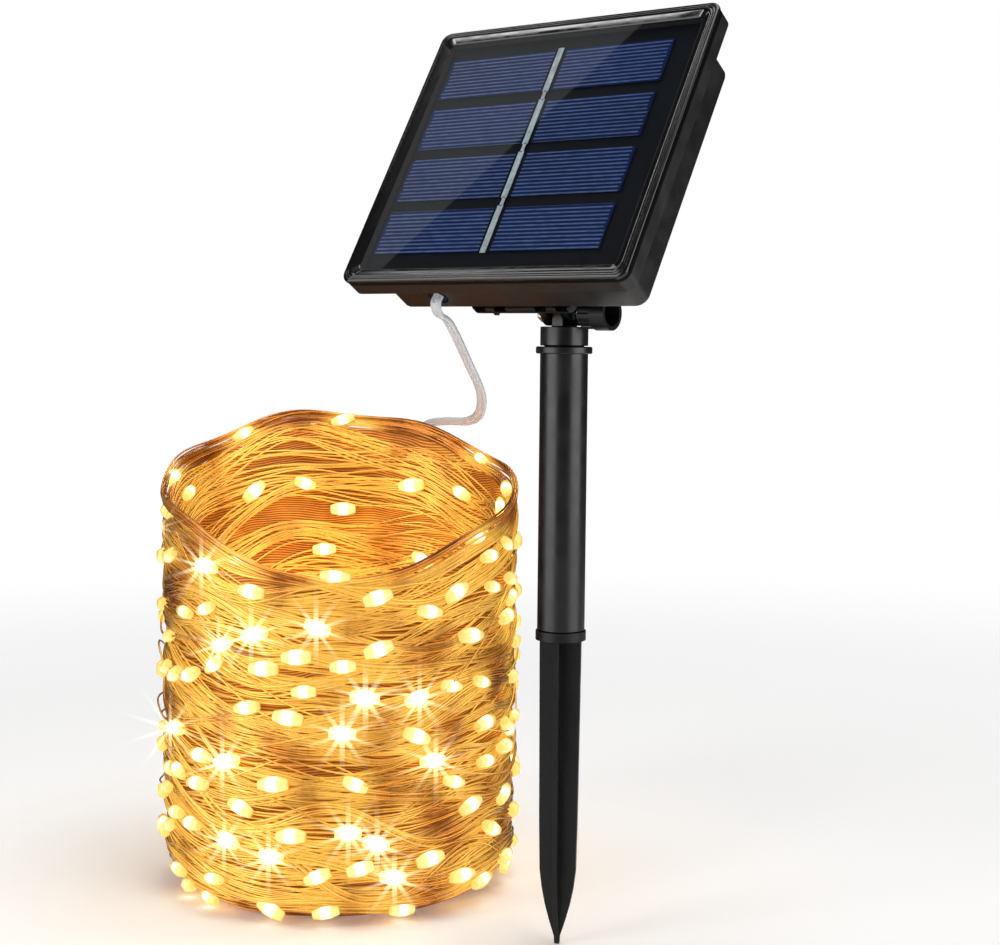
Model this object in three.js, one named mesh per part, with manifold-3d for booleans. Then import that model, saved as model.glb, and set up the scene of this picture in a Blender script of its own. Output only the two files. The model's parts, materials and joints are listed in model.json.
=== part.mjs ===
// Solar string lights: a tilting solar head on a garden stake, and a coil of copper-wire lights.
// Millimetres, +Z up. The origin is the spike's tip, on the pole's axis, at floor level.
// The tilt hinge lies along X and the solar panel faces -Y, leaning back. The coil stands beside the
// stake, and a flat two-core lead joins it to the head.

import * as THREE from "three";
import { mergeVertices } from "three/addons/utils/BufferGeometryUtils.js";
import Module from "manifold-3d";

const wasm = await Module();
wasm.setup();

// ---- Driving dimensions -------------------------------------------------------------------------

const GAP = 0.3; // clearance between neighbouring pieces
const ROUND = 40; // facets of a visible round part
const SMALL_ROUND = 12; // facets of screws, pins and holes

// Stake
const TUBE_R = 8.75;
const TUBE_WALL = 1.2;
const TUBE_BOTTOM_Z = 118.3;
const TUBE_TOP_Z = 221;
const FLANGE_R = 9.3;
const FLANGE_HEIGHT = 3.4;
const COLLAR_R = 10.3;
const COLLAR_HEIGHT = 2.6;
const PLUG_R = TUBE_R - TUBE_WALL - GAP;
const SPIKE_PLUG_HEIGHT = 15;
const FIN_THICKNESS = 1.9;
const FIN_TURN = THREE.MathUtils.degToRad(23);

// Head
const HINGE_Z = 234.4;
const PANEL_TILT = THREE.MathUtils.degToRad(32); // back from upright
const NECK_TOP_Z = 229.4;
const NECK_PLUG_HEIGHT = 16;
const EAR_R = 4.7;
const TONGUE_HALF = 2.4;
const EAR_INNER = TONGUE_HALF + GAP;
const EAR_OUTER = 5.9;
const BOSS_OUTER = 7.4;
const BOLT_R = 1.5;
const KNOB_R = 6.4;
const KNOB_START = 8.8;
const KNOB_END = 20.6;

// Panel head, in the panel's own frame: X across, Y up the slope, Z out of the glass, 0 at the lip
const PANEL_W = 120;
const PANEL_H = 113;
const PANEL_CORNER = 4;
const HINGE_BELOW_CENTRE = 36;
const HINGE_BEHIND_LIP = 52.5;
const LIP_WIDTH = 5.6;
const LIP_THICKNESS = 0.9;
const LIP_SLOPE = 2; // width of the slope from the lip's ridge down to the glass
const BEZEL_DEPTH = 4.5;
const BEZEL_WALL = 3.4;
const BEZEL_SKIRT = 1.8; // depth of the bezel's outer side, in front of the housing's rim
const RIM_WALL = 1.6;
const RIM_INSET = 0.2;
const RIM_BACK = 8.7;
const TUB_W = 105;
const TUB_H = 100;
const TUB_CORNER = 4.5;
const TUB_DEPTH = 27.5;
const TUB_WALL = 2.3;
const BACK_WALL = 3;

// Solar cells
const CELL_ROWS = 4;
const CELL_W = 96.5;
const CELL_H = 18.3;
const CELL_PITCH = 23.1;
const CELL_SHIFT_X = -4;
const CELL_SHIFT_Y = 0.7;
const CELL_FRONT = 3; // depth of the cells' faces behind the lip
const CELL_THICKNESS = 0.3;
const RIBBON_W = 2.4;
const RIBBON_OFFSET = 1; // right of the rows' centre
const RIBBON_FRONT = 2.5;
const RIBBON_THICKNESS = 0.2;

// Coil of lights
const COIL_X = -119.5;
const COIL_Y = 13.8;
const COIL_OUTER_R = 71;
const COIL_INNER_R = 61.5;
const COIL_MID_TOP_Z = 160.5;
const COIL_SLANT = THREE.MathUtils.degToRad(20.5);
const COIL_HIGH_SIDE = THREE.MathUtils.degToRad(131.3); // heading of the rim's highest point, from +X
const COIL_BASE_ROUND = 20;
const COIL_BASE_FLAT = 10; // width of the flat ring the coil stands on
const STRING_WIRE_R = 0.7;
const BEAD_R = 2.3;
const BEAD_LENGTH = 8;
const STRING_TURNS = 7;
const BEADS_PER_TURN = 6;
const STEPS_PER_TURN = 20;

// ---- Solids -------------------------------------------------------------------------------------

// A geometry's triangles as a solid that can be joined and cut.
function solid(geometry) {
  const bare = new THREE.BufferGeometry();
  const source = geometry.index ? geometry.toNonIndexed() : geometry;
  bare.setAttribute("position", source.getAttribute("position"));
  const merged = mergeVertices(bare, 1e-4);
  const corners = merged.index.array;
  const triangles = [];
  for (let i = 0; i < corners.length; i += 3) {
    const [a, b, c] = corners.slice(i, i + 3);
    if (a !== b && b !== c && c !== a) triangles.push(a, b, c);
  }
  return new wasm.Manifold(
    new wasm.Mesh({
      numProp: 3,
      vertProperties: merged.attributes.position.array,
      triVerts: new Uint32Array(triangles),
    }),
  );
}

function geometryOf(body) {
  const made = body.getMesh();
  const geometry = new THREE.BufferGeometry();
  geometry.setAttribute("position", new THREE.BufferAttribute(made.vertProperties, 3));
  geometry.setIndex(new THREE.BufferAttribute(made.triVerts, 1));
  const flat = geometry.toNonIndexed();
  flat.computeVertexNormals();
  return flat;
}

const join = (...bodies) => bodies.reduce((whole, body) => whole.add(body));
const cut = (whole, ...bodies) => bodies.reduce((rest, body) => rest.subtract(body), whole);

// A block between two corners.
function block([x0, y0, z0], [x1, y1, z1]) {
  const box = new THREE.BoxGeometry(x1 - x0, y1 - y0, z1 - z0);
  return solid(box.translate((x0 + x1) / 2, (y0 + y1) / 2, (z0 + z1) / 2));
}

// A round bar or cone along Z.
function bar(radius, z0, z1, facets = ROUND, topRadius = radius) {
  const geometry = new THREE.CylinderGeometry(topRadius, radius, z1 - z0, facets);
  return solid(geometry.rotateX(Math.PI / 2).translate(0, 0, (z0 + z1) / 2));
}

// A round bar along X.
function crossBar(radius, x0, x1, facets = SMALL_ROUND) {
  const geometry = new THREE.CylinderGeometry(radius, radius, x1 - x0, facets);
  return solid(geometry.rotateZ(-Math.PI / 2).translate((x0 + x1) / 2, 0, 0));
}

const ring = (outer, inner, z0, z1, facets = ROUND) =>
  cut(bar(outer, z0, z1, facets), bar(inner, z0 - 1, z1 + 1, facets));

// A rectangle with round corners, centred on the origin.
function roundedRectangle(width, height, radius) {
  const [x, y] = [width / 2, height / 2];
  const shape = new THREE.Shape();
  shape.absarc(x - radius, y - radius, radius, 0, Math.PI / 2);
  shape.absarc(radius - x, y - radius, radius, Math.PI / 2, Math.PI);
  shape.absarc(radius - x, radius - y, radius, Math.PI, 1.5 * Math.PI);
  shape.absarc(x - radius, radius - y, radius, 1.5 * Math.PI, 2 * Math.PI);
  return shape;
}

// A rounded slab between two heights, with its rims bevelled when bevel is over 0.
function slab(width, height, radius, z0, z1, bevel = 0) {
  const outline = roundedRectangle(width - 2 * bevel, height - 2 * bevel, radius - bevel);
  const geometry = new THREE.ExtrudeGeometry(outline, {
    depth: z1 - z0 - 2 * bevel,
    curveSegments: 4,
    bevelEnabled: bevel > 0,
    bevelThickness: bevel,
    bevelSize: bevel,
    bevelSegments: 2,
  });
  return solid(geometry.translate(0, 0, z0 + bevel));
}

// A flat plate of an outline drawn in the Y-Z plane, spanning x0 to x1.
function sidePlate(points, x0, x1) {
  const outline = new THREE.Shape(points.map(([y, z]) => new THREE.Vector2(y, z)));
  const geometry = new THREE.ExtrudeGeometry(outline, { depth: x1 - x0, bevelEnabled: false });
  const turn = new THREE.Matrix4().makeBasis(
    new THREE.Vector3(0, 1, 0),
    new THREE.Vector3(0, 0, 1),
    new THREE.Vector3(1, 0, 0),
  );
  return solid(geometry.applyMatrix4(turn).translate(x0, 0, 0));
}

// An outline carried along a path.
function swept(outline, path, steps) {
  const geometry = new THREE.ExtrudeGeometry(outline, { steps, extrudePath: path });
  const body = solid(geometry);
  return body.volume() < 0 ? solid(flipped(geometry)) : body;
}

// The same geometry with each face turned round.
function flipped(geometry) {
  const source = geometry.index ? geometry.toNonIndexed() : geometry.clone();
  const place = source.getAttribute("position");
  for (let i = 0; i < place.count; i += 3) {
    const [x, y, z] = [place.getX(i), place.getY(i), place.getZ(i)];
    place.setXYZ(i, place.getX(i + 1), place.getY(i + 1), place.getZ(i + 1));
    place.setXYZ(i + 1, x, y, z);
  }
  return source;
}

function polygonOutline(radius, sides) {
  const shape = new THREE.Shape();
  for (let i = 0; i < sides; i += 1) {
    const turn = (i / sides) * 2 * Math.PI;
    const [x, y] = [radius * Math.cos(turn), radius * Math.sin(turn)];
    if (i === 0) shape.moveTo(x, y);
    else shape.lineTo(x, y);
  }
  return shape;
}

// ---- Materials ----------------------------------------------------------------------------------

const finish = (color, roughness, metalness = 0) =>
  new THREE.MeshStandardMaterial({ color, roughness, metalness });

const GLOSS_BLACK = finish(0x17181a, 0.25);
const SATIN_BLACK = finish(0x2b2c2e, 0.5);
const POLE_BLACK = finish(0x26272a, 0.38, 0.2);
const GLASS = finish(0x0d1626, 0.06);
const CELL_BLUE = finish(0x17306c, 0.3, 0.3);
const SILVER = finish(0xc9ccd0, 0.3, 1);
const STEEL = finish(0x9a9da1, 0.35, 1);
const BRASS = finish(0xb5893a, 0.35, 1);
const RUBBER = finish(0x1c1c1d, 0.8);
const BOARD_GREEN = finish(0x14532a, 0.5);
const CHIP = finish(0x151515, 0.6);
const BUTTON = finish(0x3a3b3d, 0.55);
const BATTERY_WRAP = finish(0x2f6b3f, 0.35);
const CLEAR_PVC = finish(0xd9dcdc, 0.2);
const COPPER = finish(0xc5822b, 0.35, 0.9);
const LED = finish(0xffe9a6, 0.3);

function part(name, body, material) {
  const mesh = new THREE.Mesh(geometryOf(body), material);
  mesh.name = name;
  return mesh;
}

// ---- Stake --------------------------------------------------------------------------------------

// One tapering blade of the spike, in the X-Z plane: parallel for most of its length, then drawn in
// to a blunt stub at the floor.
function spikeBlade() {
  const profile = [
    [0.95, 0],
    [1.05, 2.6],
    [3.1, 9],
    [4.7, 14.8],
    [6, 21.4],
    [6.8, 28],
    [7.15, 45],
    [7.75, TUBE_BOTTOM_Z - GAP - FLANGE_HEIGHT + 1],
  ];
  const left = profile.map(([x, z]) => new THREE.Vector2(-x, z)).reverse();
  const right = profile.map(([x, z]) => new THREE.Vector2(x, z));
  const outline = new THREE.Shape([...right, ...left]);
  const geometry = new THREE.ExtrudeGeometry(outline, { depth: FIN_THICKNESS, bevelEnabled: false });
  return solid(geometry.translate(0, 0, -FIN_THICKNESS / 2).rotateX(Math.PI / 2));
}

function groundSpike() {
  const flangeTop = TUBE_BOTTOM_Z - GAP;
  const turned = THREE.MathUtils.radToDeg(FIN_TURN);
  const blades = join(spikeBlade(), spikeBlade().rotate([0, 0, 90])).rotate([0, 0, turned]);
  const flange = bar(FLANGE_R, flangeTop - FLANGE_HEIGHT, flangeTop);
  const plug = bar(PLUG_R, flangeTop - 1, flangeTop + SPIKE_PLUG_HEIGHT, ROUND, PLUG_R - 0.4);
  return join(blades, flange, plug);
}

function poleTube() {
  return ring(TUBE_R, TUBE_R - TUBE_WALL, TUBE_BOTTOM_Z, TUBE_TOP_Z);
}

// A ring over the tube's end, with a thin lip that covers the tube's rim.
function tubeCollar() {
  const top = TUBE_TOP_Z + 1.2;
  const body = ring(COLLAR_R, TUBE_R - TUBE_WALL, top - COLLAR_HEIGHT, top);
  return cut(body, bar(TUBE_R + GAP, top - COLLAR_HEIGHT - 1, TUBE_TOP_Z + GAP));
}

// ---- Swivel neck --------------------------------------------------------------------------------

function swivelNeck() {
  const shoulderZ = TUBE_TOP_Z + 1.2 + GAP;
  const body = bar(TUBE_R, shoulderZ, NECK_TOP_Z);
  const plug = bar(PLUG_R, shoulderZ - NECK_PLUG_HEIGHT, shoulderZ + 1);
  const stem = block([-TONGUE_HALF, -EAR_R, NECK_TOP_Z - 1], [TONGUE_HALF, EAR_R, HINGE_Z]);
  const eye = crossBar(EAR_R, -TONGUE_HALF, TONGUE_HALF, 24).translate([0, 0, HINGE_Z]);
  const bore = crossBar(BOLT_R + GAP, -9, 9).translate([0, 0, HINGE_Z]);
  return cut(join(body, plug, stem, eye), bore);
}

// ---- Bracket and hinge, in the panel's frame moved to the hinge ----------------------------------
// Y runs up the slope and Z towards the glass, with the hinge axis on X.

const PLATE_BACK = 21.7; // the plate's rear face, ahead of the hinge
const PLATE_HALF_W = 22;
const PLATE_LOW = -14.5;
const PLATE_HIGH = 19;
const PLATE_THICKNESS = 3;
const GUSSET_REACH = 15;
const PLATE_RIB_X = 13;
const PLATE_WINDOWS_X = [-17.5, -8.7, 8.7, 17.5];
const BRACKET_SCREW_X = 18;
const BRACKET_SCREW_Y = 12;

// One ear: a flat arm from the plate to the bolt, flared into gussets where it meets the plate.
function bracketEar(side) {
  const arm = sidePlate(
    [
      [-EAR_R, 0],
      [EAR_R, 0],
      [EAR_R, 13],
      [12, PLATE_BACK + 0.5],
      [-11.5, PLATE_BACK + 0.5],
      [-EAR_R, 13],
    ],
    EAR_INNER,
    EAR_OUTER,
  );
  const boss = crossBar(EAR_R, EAR_INNER, BOSS_OUTER, 24);
  const ear = join(arm, boss);
  return side > 0 ? ear : ear.rotate([0, 0, 180]).mirror([0, 1, 0]);
}

// A web from an ear's side out to the plate.
function gusset(side) {
  const outline = new THREE.Shape([
    new THREE.Vector2(EAR_OUTER - 1, 8.5),
    new THREE.Vector2(GUSSET_REACH, PLATE_BACK + 0.5),
    new THREE.Vector2(EAR_OUTER - 1, PLATE_BACK + 0.5),
  ]);
  const geometry = new THREE.ExtrudeGeometry(outline, { depth: 2.4, bevelEnabled: false });
  const web = solid(geometry.rotateX(Math.PI / 2).translate(0, -EAR_R + 2.6, 0));
  return side > 0 ? web : web.rotate([0, 0, 180]).mirror([0, 1, 0]);
}

function bracket() {
  const plateFront = PLATE_BACK + PLATE_THICKNESS;
  const plate = slab(2 * PLATE_HALF_W, PLATE_HIGH - PLATE_LOW, 3, PLATE_BACK, plateFront, 0.5)
    .translate([0, (PLATE_HIGH + PLATE_LOW) / 2, 0]);
  const ribs = [-PLATE_RIB_X, PLATE_RIB_X].map((x) =>
    block([x - 1, PLATE_LOW + 0.8, PLATE_BACK - 2.2], [x + 1, PLATE_HIGH - 3, PLATE_BACK + 1]),
  );
  const gussets = [gusset(1), gusset(-1)];
  const windows = PLATE_WINDOWS_X.map((x) =>
    block([x - 2.4, PLATE_LOW - 1, PLATE_BACK + 1.2], [x + 2.4, PLATE_LOW + 5, plateFront + 1]),
  );
  const holes = [-BRACKET_SCREW_X, BRACKET_SCREW_X].map((x) =>
    bar(1.7, PLATE_BACK - 5, plateFront + 1, SMALL_ROUND).translate([x, BRACKET_SCREW_Y, 0]),
  );
  const bore = crossBar(BOLT_R + GAP, -12, 12);
  const whole = join(plate, ...ribs, ...gussets, bracketEar(1), bracketEar(-1));
  return cut(whole, ...windows, ...holes, bore);
}

// A pan-head screw with a cross recess. The head's underside is at z = 0 and its shank runs up.
function panScrew(headR, headHeight, shankR, length) {
  const head = bar(headR * 0.7, -headHeight, 0, SMALL_ROUND, headR);
  const shank = bar(shankR, -0.2, length, SMALL_ROUND);
  const arm = headR * 0.55;
  const slots = [
    block([-arm, -0.35, -headHeight - 1], [arm, 0.35, -headHeight * 0.4]),
    block([-0.35, -arm, -headHeight - 1], [0.35, arm, -headHeight * 0.4]),
  ];
  return cut(join(head, shank), ...slots);
}

function hingeBolt() {
  const head = crossBar(3.4, -BOSS_OUTER - GAP - 2.4, -BOSS_OUTER - GAP, 6);
  return join(head, crossBar(BOLT_R, -BOSS_OUTER - GAP - 0.5, KNOB_END - 5.5));
}

function hingeWasher() {
  return cut(
    crossBar(4.2, BOSS_OUTER + GAP, KNOB_START - GAP, 24),
    crossBar(BOLT_R + GAP, BOSS_OUTER, KNOB_START),
  );
}

// The fluted clamping knob, open at its outer end where the bolt shows.
function thumbKnob() {
  const flutes = 12;
  const grip = crossBar(KNOB_R - 0.5, KNOB_START, KNOB_START + 6, 24);
  const rim = crossBar(KNOB_R, KNOB_START + 5.5, KNOB_END, 28);
  const grooves = Array.from({ length: flutes }, (unused, i) =>
    crossBar(0.75, KNOB_START - 1, KNOB_START + 5, 5)
      .translate([0, KNOB_R - 0.4, 0])
      .rotate([(i * 360) / flutes, 0, 0]),
  );
  const hollow = crossBar(KNOB_R - 1.5, KNOB_END - 6.5, KNOB_END + 1, 20);
  const bore = crossBar(BOLT_R + GAP, KNOB_START - 1, KNOB_END);
  const insertPocket = crossBar(3.2, KNOB_START - 1, KNOB_START + 3.2, 24);
  return cut(join(grip, rim), ...grooves, hollow, bore, insertPocket);
}

function knobInsert() {
  return cut(
    crossBar(3.2 - GAP, KNOB_START + 0.2, KNOB_START + 3.2 - GAP, 6),
    crossBar(BOLT_R + GAP, KNOB_START - 1, KNOB_START + 4),
  );
}

// ---- Panel head ---------------------------------------------------------------------------------

// A rounded slab set in from the panel's outline by an equal margin all round.
const inset = (margin, radius, z0, z1, bevel = 0) =>
  slab(PANEL_W - 2 * margin, PANEL_H - 2 * margin, radius, z0, z1, bevel);

const RIM_INSIDE = RIM_INSET + RIM_WALL;

// The glossy frame: a lip with a sloping inner edge, and a skirt that sits inside the housing's rim.
function frontBezel() {
  const face = inset(0, PANEL_CORNER, -BEZEL_SKIRT, 0, 0.8);
  const skirt = inset(RIM_INSIDE + GAP, 2.6, -BEZEL_DEPTH, -BEZEL_SKIRT + 0.2);
  const opening = inset(LIP_WIDTH, 1.5, -BEZEL_DEPTH - 1, 1);
  const slope = inset(LIP_WIDTH - LIP_SLOPE, 3.5, -LIP_THICKNESS + 0.3, 5, LIP_SLOPE);
  const pocket = inset(BEZEL_WALL, 2.5, -BEZEL_DEPTH - 1, -LIP_THICKNESS);
  return cut(join(face, skirt), opening, slope, pocket);
}

const GLASS_BACK = LIP_THICKNESS + GAP + 1;
const TRAY_FRONT = 3.6;
const TRAY_BACK = 4.3;
const GASKET_WIDTH = 1.8;

const coverGlass = () => inset(BEZEL_WALL + GAP, 2.2, -GLASS_BACK, -LIP_THICKNESS - GAP);

// A thin sheet centred on the origin, its face a depth behind the lip.
const sheet = (width, height, depth, thickness) =>
  block([-width / 2, -height / 2, -depth - thickness], [width / 2, height / 2, -depth]);

const solarCell = () => sheet(CELL_W, CELL_H, CELL_FRONT, CELL_THICKNESS);

// The middle conductor that joins the rows.
function busRibbon() {
  const length = (CELL_ROWS - 1) * CELL_PITCH + CELL_H + 1;
  return sheet(RIBBON_W, length, RIBBON_FRONT, RIBBON_THICKNESS);
}

function sealGasket() {
  return cut(
    inset(BEZEL_WALL + GAP, 2.2, -BEZEL_DEPTH, -GLASS_BACK - GAP),
    inset(BEZEL_WALL + GAP + GASKET_WIDTH, 1, -BEZEL_DEPTH - 1, 0),
  );
}

const SCREW_X = 43;
const SCREW_Y = 40;
const POST_R = 3.2;
const POST_LENGTH = 18.2;
const PILOT_R = 1.6;
const PILOT_DEPTH = 13.5;
const corners = [
  [-SCREW_X, SCREW_Y],
  [SCREW_X, SCREW_Y],
  [SCREW_X, -SCREW_Y],
  [-SCREW_X, -SCREW_Y],
];

// The moulded tray that carries the cells and takes the four housing screws in its posts.
function cellTray() {
  const floor = inset(BEZEL_WALL + GASKET_WIDTH + 2 * GAP, 1, -TRAY_BACK, -TRAY_FRONT);
  const end = -TRAY_BACK - POST_LENGTH;
  const posts = corners.map(([x, y]) => bar(POST_R, end, -TRAY_FRONT - 0.5, 20).translate([x, y, 0]));
  const pilots = corners.map(([x, y]) =>
    bar(PILOT_R, end - 1, end + PILOT_DEPTH, SMALL_ROUND).translate([x, y, 0]),
  );
  return cut(join(floor, ...posts), ...pilots);
}

const DOOR = { y: 16, width: 62, height: 26, corner: 2.7, thickness: 1.4 };
const DOOR_SCREW_X = 28;
const BAY = { width: 48, height: 20 };
const CRADLE = { halfW: 31.5, halfH: 12, wall: 1.5, front: -7.8, ribX: 17, bore: 7.7 };
const POWER_PLACE = [33, -19];
const MODE_PLACE = [33, -34];
const BUTTON_R = 3.2;
const BOARD = { x0: 11, x1: 38.5, y0: -44, y1: -9, z0: -16.6, z1: -15 };
const LEAD_EXIT_X = -31.3;
const LEAD_EXIT_Z = -20.4;
const GROMMET_R = 3.6;
const GROMMET_BORE = 2.8;
const GROMMET_LENGTH = 3.4;
const TUB_BACK = -TUB_DEPTH;
const TUB_BACK_INSIDE = TUB_BACK + BACK_WALL;
const BATTERY_R = 6.9;
const BATTERY_HALF = 22.5;
const BATTERY_Z = -16.6;

// A walled box with ribs that cradle the battery, with room for its contacts at both ends.
function batteryCradle() {
  const { halfW, halfH, wall, front, ribX, bore } = CRADLE;
  const back = TUB_BACK_INSIDE - 0.5;
  const rails = [-halfH, halfH - wall].map((y) => block([-halfW, y, back], [halfW, y + wall, front]));
  const ends = [-halfW, halfW - wall].map((x) => block([x, -halfH, back], [x + wall, halfH, front]));
  const ribs = [-ribX, ribX].map((x) => block([x - 1, -halfH + 2, -13.5], [x + 1, halfH - 2, front]));
  const cover = block([-halfW, -halfH, front - 1], [halfW, halfH, front]);
  const room = crossBar(bore, -halfW + wall + 1, halfW - wall - 1, 28).translate([0, 0, BATTERY_Z - 0.4]);
  return cut(join(cover, ...rails, ...ends, ...ribs), room).translate([0, DOOR.y, 0]);
}

function rearHousing() {
  const rim = inset(RIM_INSET, PANEL_CORNER, -RIM_BACK, -BEZEL_SKIRT - GAP);
  const rimPocket = inset(RIM_INSIDE, 2.9, -BEZEL_DEPTH - GAP, 0);
  const tub = slab(TUB_W, TUB_H, TUB_CORNER, -TUB_DEPTH, -BEZEL_DEPTH - GAP, 1);
  const cavity = slab(
    TUB_W - 2 * TUB_WALL,
    TUB_H - 2 * TUB_WALL,
    TUB_CORNER - TUB_WALL,
    TUB_BACK_INSIDE,
    0,
  );
  const shell = cut(join(cut(rim, rimPocket), tub), cavity);
  const boardPosts = [BOARD.x0 + 3, BOARD.x1 - 3].map((x) =>
    bar(2, TUB_BACK_INSIDE - 0.5, BOARD.z0 - GAP, SMALL_ROUND).translate([x, BOARD.y1 - 3, 0]),
  );
  return cut(join(shell, batteryCradle(), ...boardPosts), ...batteryBay(), ...backHoles(), leadHole());
}

// A round hole through the housing's rear wall.
const backHole = (radius, x, y, facets = SMALL_ROUND) =>
  bar(radius, TUB_BACK - 1, TUB_BACK_INSIDE + 1, facets).translate([x, y, 0]);

function batteryBay() {
  const [halfW, halfH] = [BAY.width / 2, BAY.height / 2];
  const recess = slab(DOOR.width + 2 * GAP, DOOR.height + 2 * GAP, 3, TUB_BACK - 1, TUB_BACK + 1.8);
  const opening = block([-halfW, -halfH, TUB_BACK - 1], [halfW, halfH, TUB_BACK_INSIDE + 1]);
  return [recess, opening].map((body) => body.translate([0, DOOR.y, 0]));
}

function backHoles() {
  const bracketY = BRACKET_SCREW_Y - HINGE_BELOW_CENTRE;
  return [
    ...[POWER_PLACE, MODE_PLACE].map(([x, y]) => backHole(BUTTON_R + GAP, x, y, 24)),
    ...corners.map(([x, y]) => backHole(1.8, x, y)),
    ...corners.map(([x, y]) => bar(3.4, TUB_BACK - 1, TUB_BACK + 1.4, SMALL_ROUND).translate([x, y, 0])),
    ...[-BRACKET_SCREW_X, BRACKET_SCREW_X].map((x) => backHole(1.5, x, bracketY)),
    ...[-DOOR_SCREW_X, DOOR_SCREW_X].map((x) => backHole(1.2, x, DOOR.y)),
  ];
}

const leadHole = () =>
  solid(new THREE.CylinderGeometry(GROMMET_R + GAP, GROMMET_R + GAP, 8, 24))
    .translate([LEAD_EXIT_X, -TUB_H / 2, LEAD_EXIT_Z]);

function batteryDoor() {
  const outer = TUB_BACK + 0.1;
  const plate = slab(DOOR.width, DOOR.height, DOOR.corner, outer, outer + DOOR.thickness, 0.3);
  const holes = [-DOOR_SCREW_X, DOOR_SCREW_X].map((x) => backHole(1.4, x, 0));
  return cut(plate, ...holes).translate([0, DOOR.y, 0]);
}

function batteryCell() {
  const can = crossBar(BATTERY_R, -BATTERY_HALF, BATTERY_HALF, 28);
  const nub = crossBar(2.6, BATTERY_HALF - 0.2, BATTERY_HALF + 1.4, SMALL_ROUND);
  return join(can, nub).translate([0, DOOR.y, BATTERY_Z]);
}

function batterySpring() {
  const turns = 4;
  const steps = turns * 10;
  const start = -CRADLE.halfW + CRADLE.wall + 1.6;
  const end = -BATTERY_HALF - 0.7;
  const points = Array.from({ length: steps + 1 }, (unused, i) => {
    const along = i / steps;
    const radius = 4.6 - 2 * along;
    const turn = along * turns * 2 * Math.PI;
    const x = start + (end - start) * along;
    return new THREE.Vector3(x, radius * Math.cos(turn), radius * Math.sin(turn));
  });
  const wire = swept(polygonOutline(0.35, 4), new THREE.CatmullRomCurve3(points), steps);
  return wire.translate([0, DOOR.y, BATTERY_Z]);
}

const batteryContact = () =>
  block([24.6, DOOR.y - 4, -21.5], [25.1, DOOR.y + 4, -11.5]);

const controlBoard = () => block([BOARD.x0, BOARD.y0, BOARD.z0], [BOARD.x1, BOARD.y1, BOARD.z1]);

const controllerChip = () => block([18, -33, BOARD.z1 + GAP], [24, -27, BOARD.z1 + 1.9]);

const inductor = () => bar(2.6, BOARD.z1 + GAP, BOARD.z1 + 4.5, 20).translate([20, -19, 0]);

const SWITCH_TOP = BOARD.z0 - GAP - 3.6;

// A tact switch on the board's rear side, with its plunger towards the button.
function tactSwitch([x, y]) {
  const body = block([-3, -3, SWITCH_TOP + 0.9], [3, 3, BOARD.z0 - GAP]);
  const plunger = bar(1.6, SWITCH_TOP, SWITCH_TOP + 1, SMALL_ROUND);
  return join(body, plunger).translate([x, y, 0]);
}

const BUTTON_TRAVEL = 1;
const BUTTON_PROUD = 1.4;

// A push button: a round cap through the rear wall and a stem that reaches the switch.
function pushButton([x, y]) {
  const outer = TUB_BACK - BUTTON_PROUD;
  const cap = bar(BUTTON_R - 0.4, outer, outer + 0.5, 24, BUTTON_R);
  const body = bar(BUTTON_R, outer + 0.5, TUB_BACK_INSIDE + 0.4, 24);
  const stem = bar(1.5, TUB_BACK_INSIDE, SWITCH_TOP - BUTTON_TRAVEL - GAP, SMALL_ROUND);
  return join(cap, body, stem).translate([x, y, 0]);
}

function cableGrommet() {
  const middle = -TUB_H / 2 - 0.2 + GROMMET_LENGTH / 2;
  const outer = new THREE.CylinderGeometry(GROMMET_R, GROMMET_R - 0.4, GROMMET_LENGTH, 24);
  const inner = new THREE.CylinderGeometry(GROMMET_BORE, GROMMET_BORE, GROMMET_LENGTH + 2, 24);
  return cut(solid(outer), solid(inner)).translate([LEAD_EXIT_X, middle, LEAD_EXIT_Z]);
}

// ---- Lead ---------------------------------------------------------------------------------------

const LEAD_WIDTH = 4.4;
const LEAD_THICKNESS = 2.2;
const LEAD_STEPS = 12;

// The panel frame's place and turn in the part's frame.
const panelFrame = new THREE.Matrix4()
  .makeRotationX(Math.PI / 2 - PANEL_TILT)
  .setPosition(0, 0, HINGE_Z)
  .multiply(new THREE.Matrix4().makeTranslation(0, HINGE_BELOW_CENTRE, HINGE_BEHIND_LIP));

// A point on the lead's way out of the housing, a distance outside the bottom wall.
const leadAt = (outside) =>
  new THREE.Vector3(LEAD_EXIT_X, -TUB_H / 2 - outside, LEAD_EXIT_Z).applyMatrix4(panelFrame);

// From the housing it swings back and down beside the pole, then hooks over the coil's high rim.
const LEAD_PATH = new THREE.CatmullRomCurve3(
  [
    leadAt(-5),
    leadAt(0),
    leadAt(2.6),
    new THREE.Vector3(-33.6, -31.5, 233.6),
    new THREE.Vector3(-38.2, -19, 230.2),
    new THREE.Vector3(-52.1, 11, 215.4),
    new THREE.Vector3(-66, 38, 202.7),
    new THREE.Vector3(-81.1, 57, 193.4),
    new THREE.Vector3(-95.7, 68, 189.4),
    new THREE.Vector3(-116, 79, 188.3),
    new THREE.Vector3(-134, 88.5, 185.5),
    new THREE.Vector3(-147, 89.5, 175),
  ],
  false,
  "centripetal",
);

// A stretch of the lead between two fractions of its length.
function leadPiece(from, to) {
  const points = Array.from({ length: LEAD_STEPS + 1 }, (unused, i) =>
    LEAD_PATH.getPointAt(from + ((to - from) * i) / LEAD_STEPS),
  );
  const outline = roundedRectangle(LEAD_THICKNESS, LEAD_WIDTH, LEAD_THICKNESS / 2 - 0.01);
  const facetted = new THREE.Shape(outline.getPoints(2));
  return swept(facetted, new THREE.CatmullRomCurve3(points), LEAD_STEPS);
}

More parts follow.
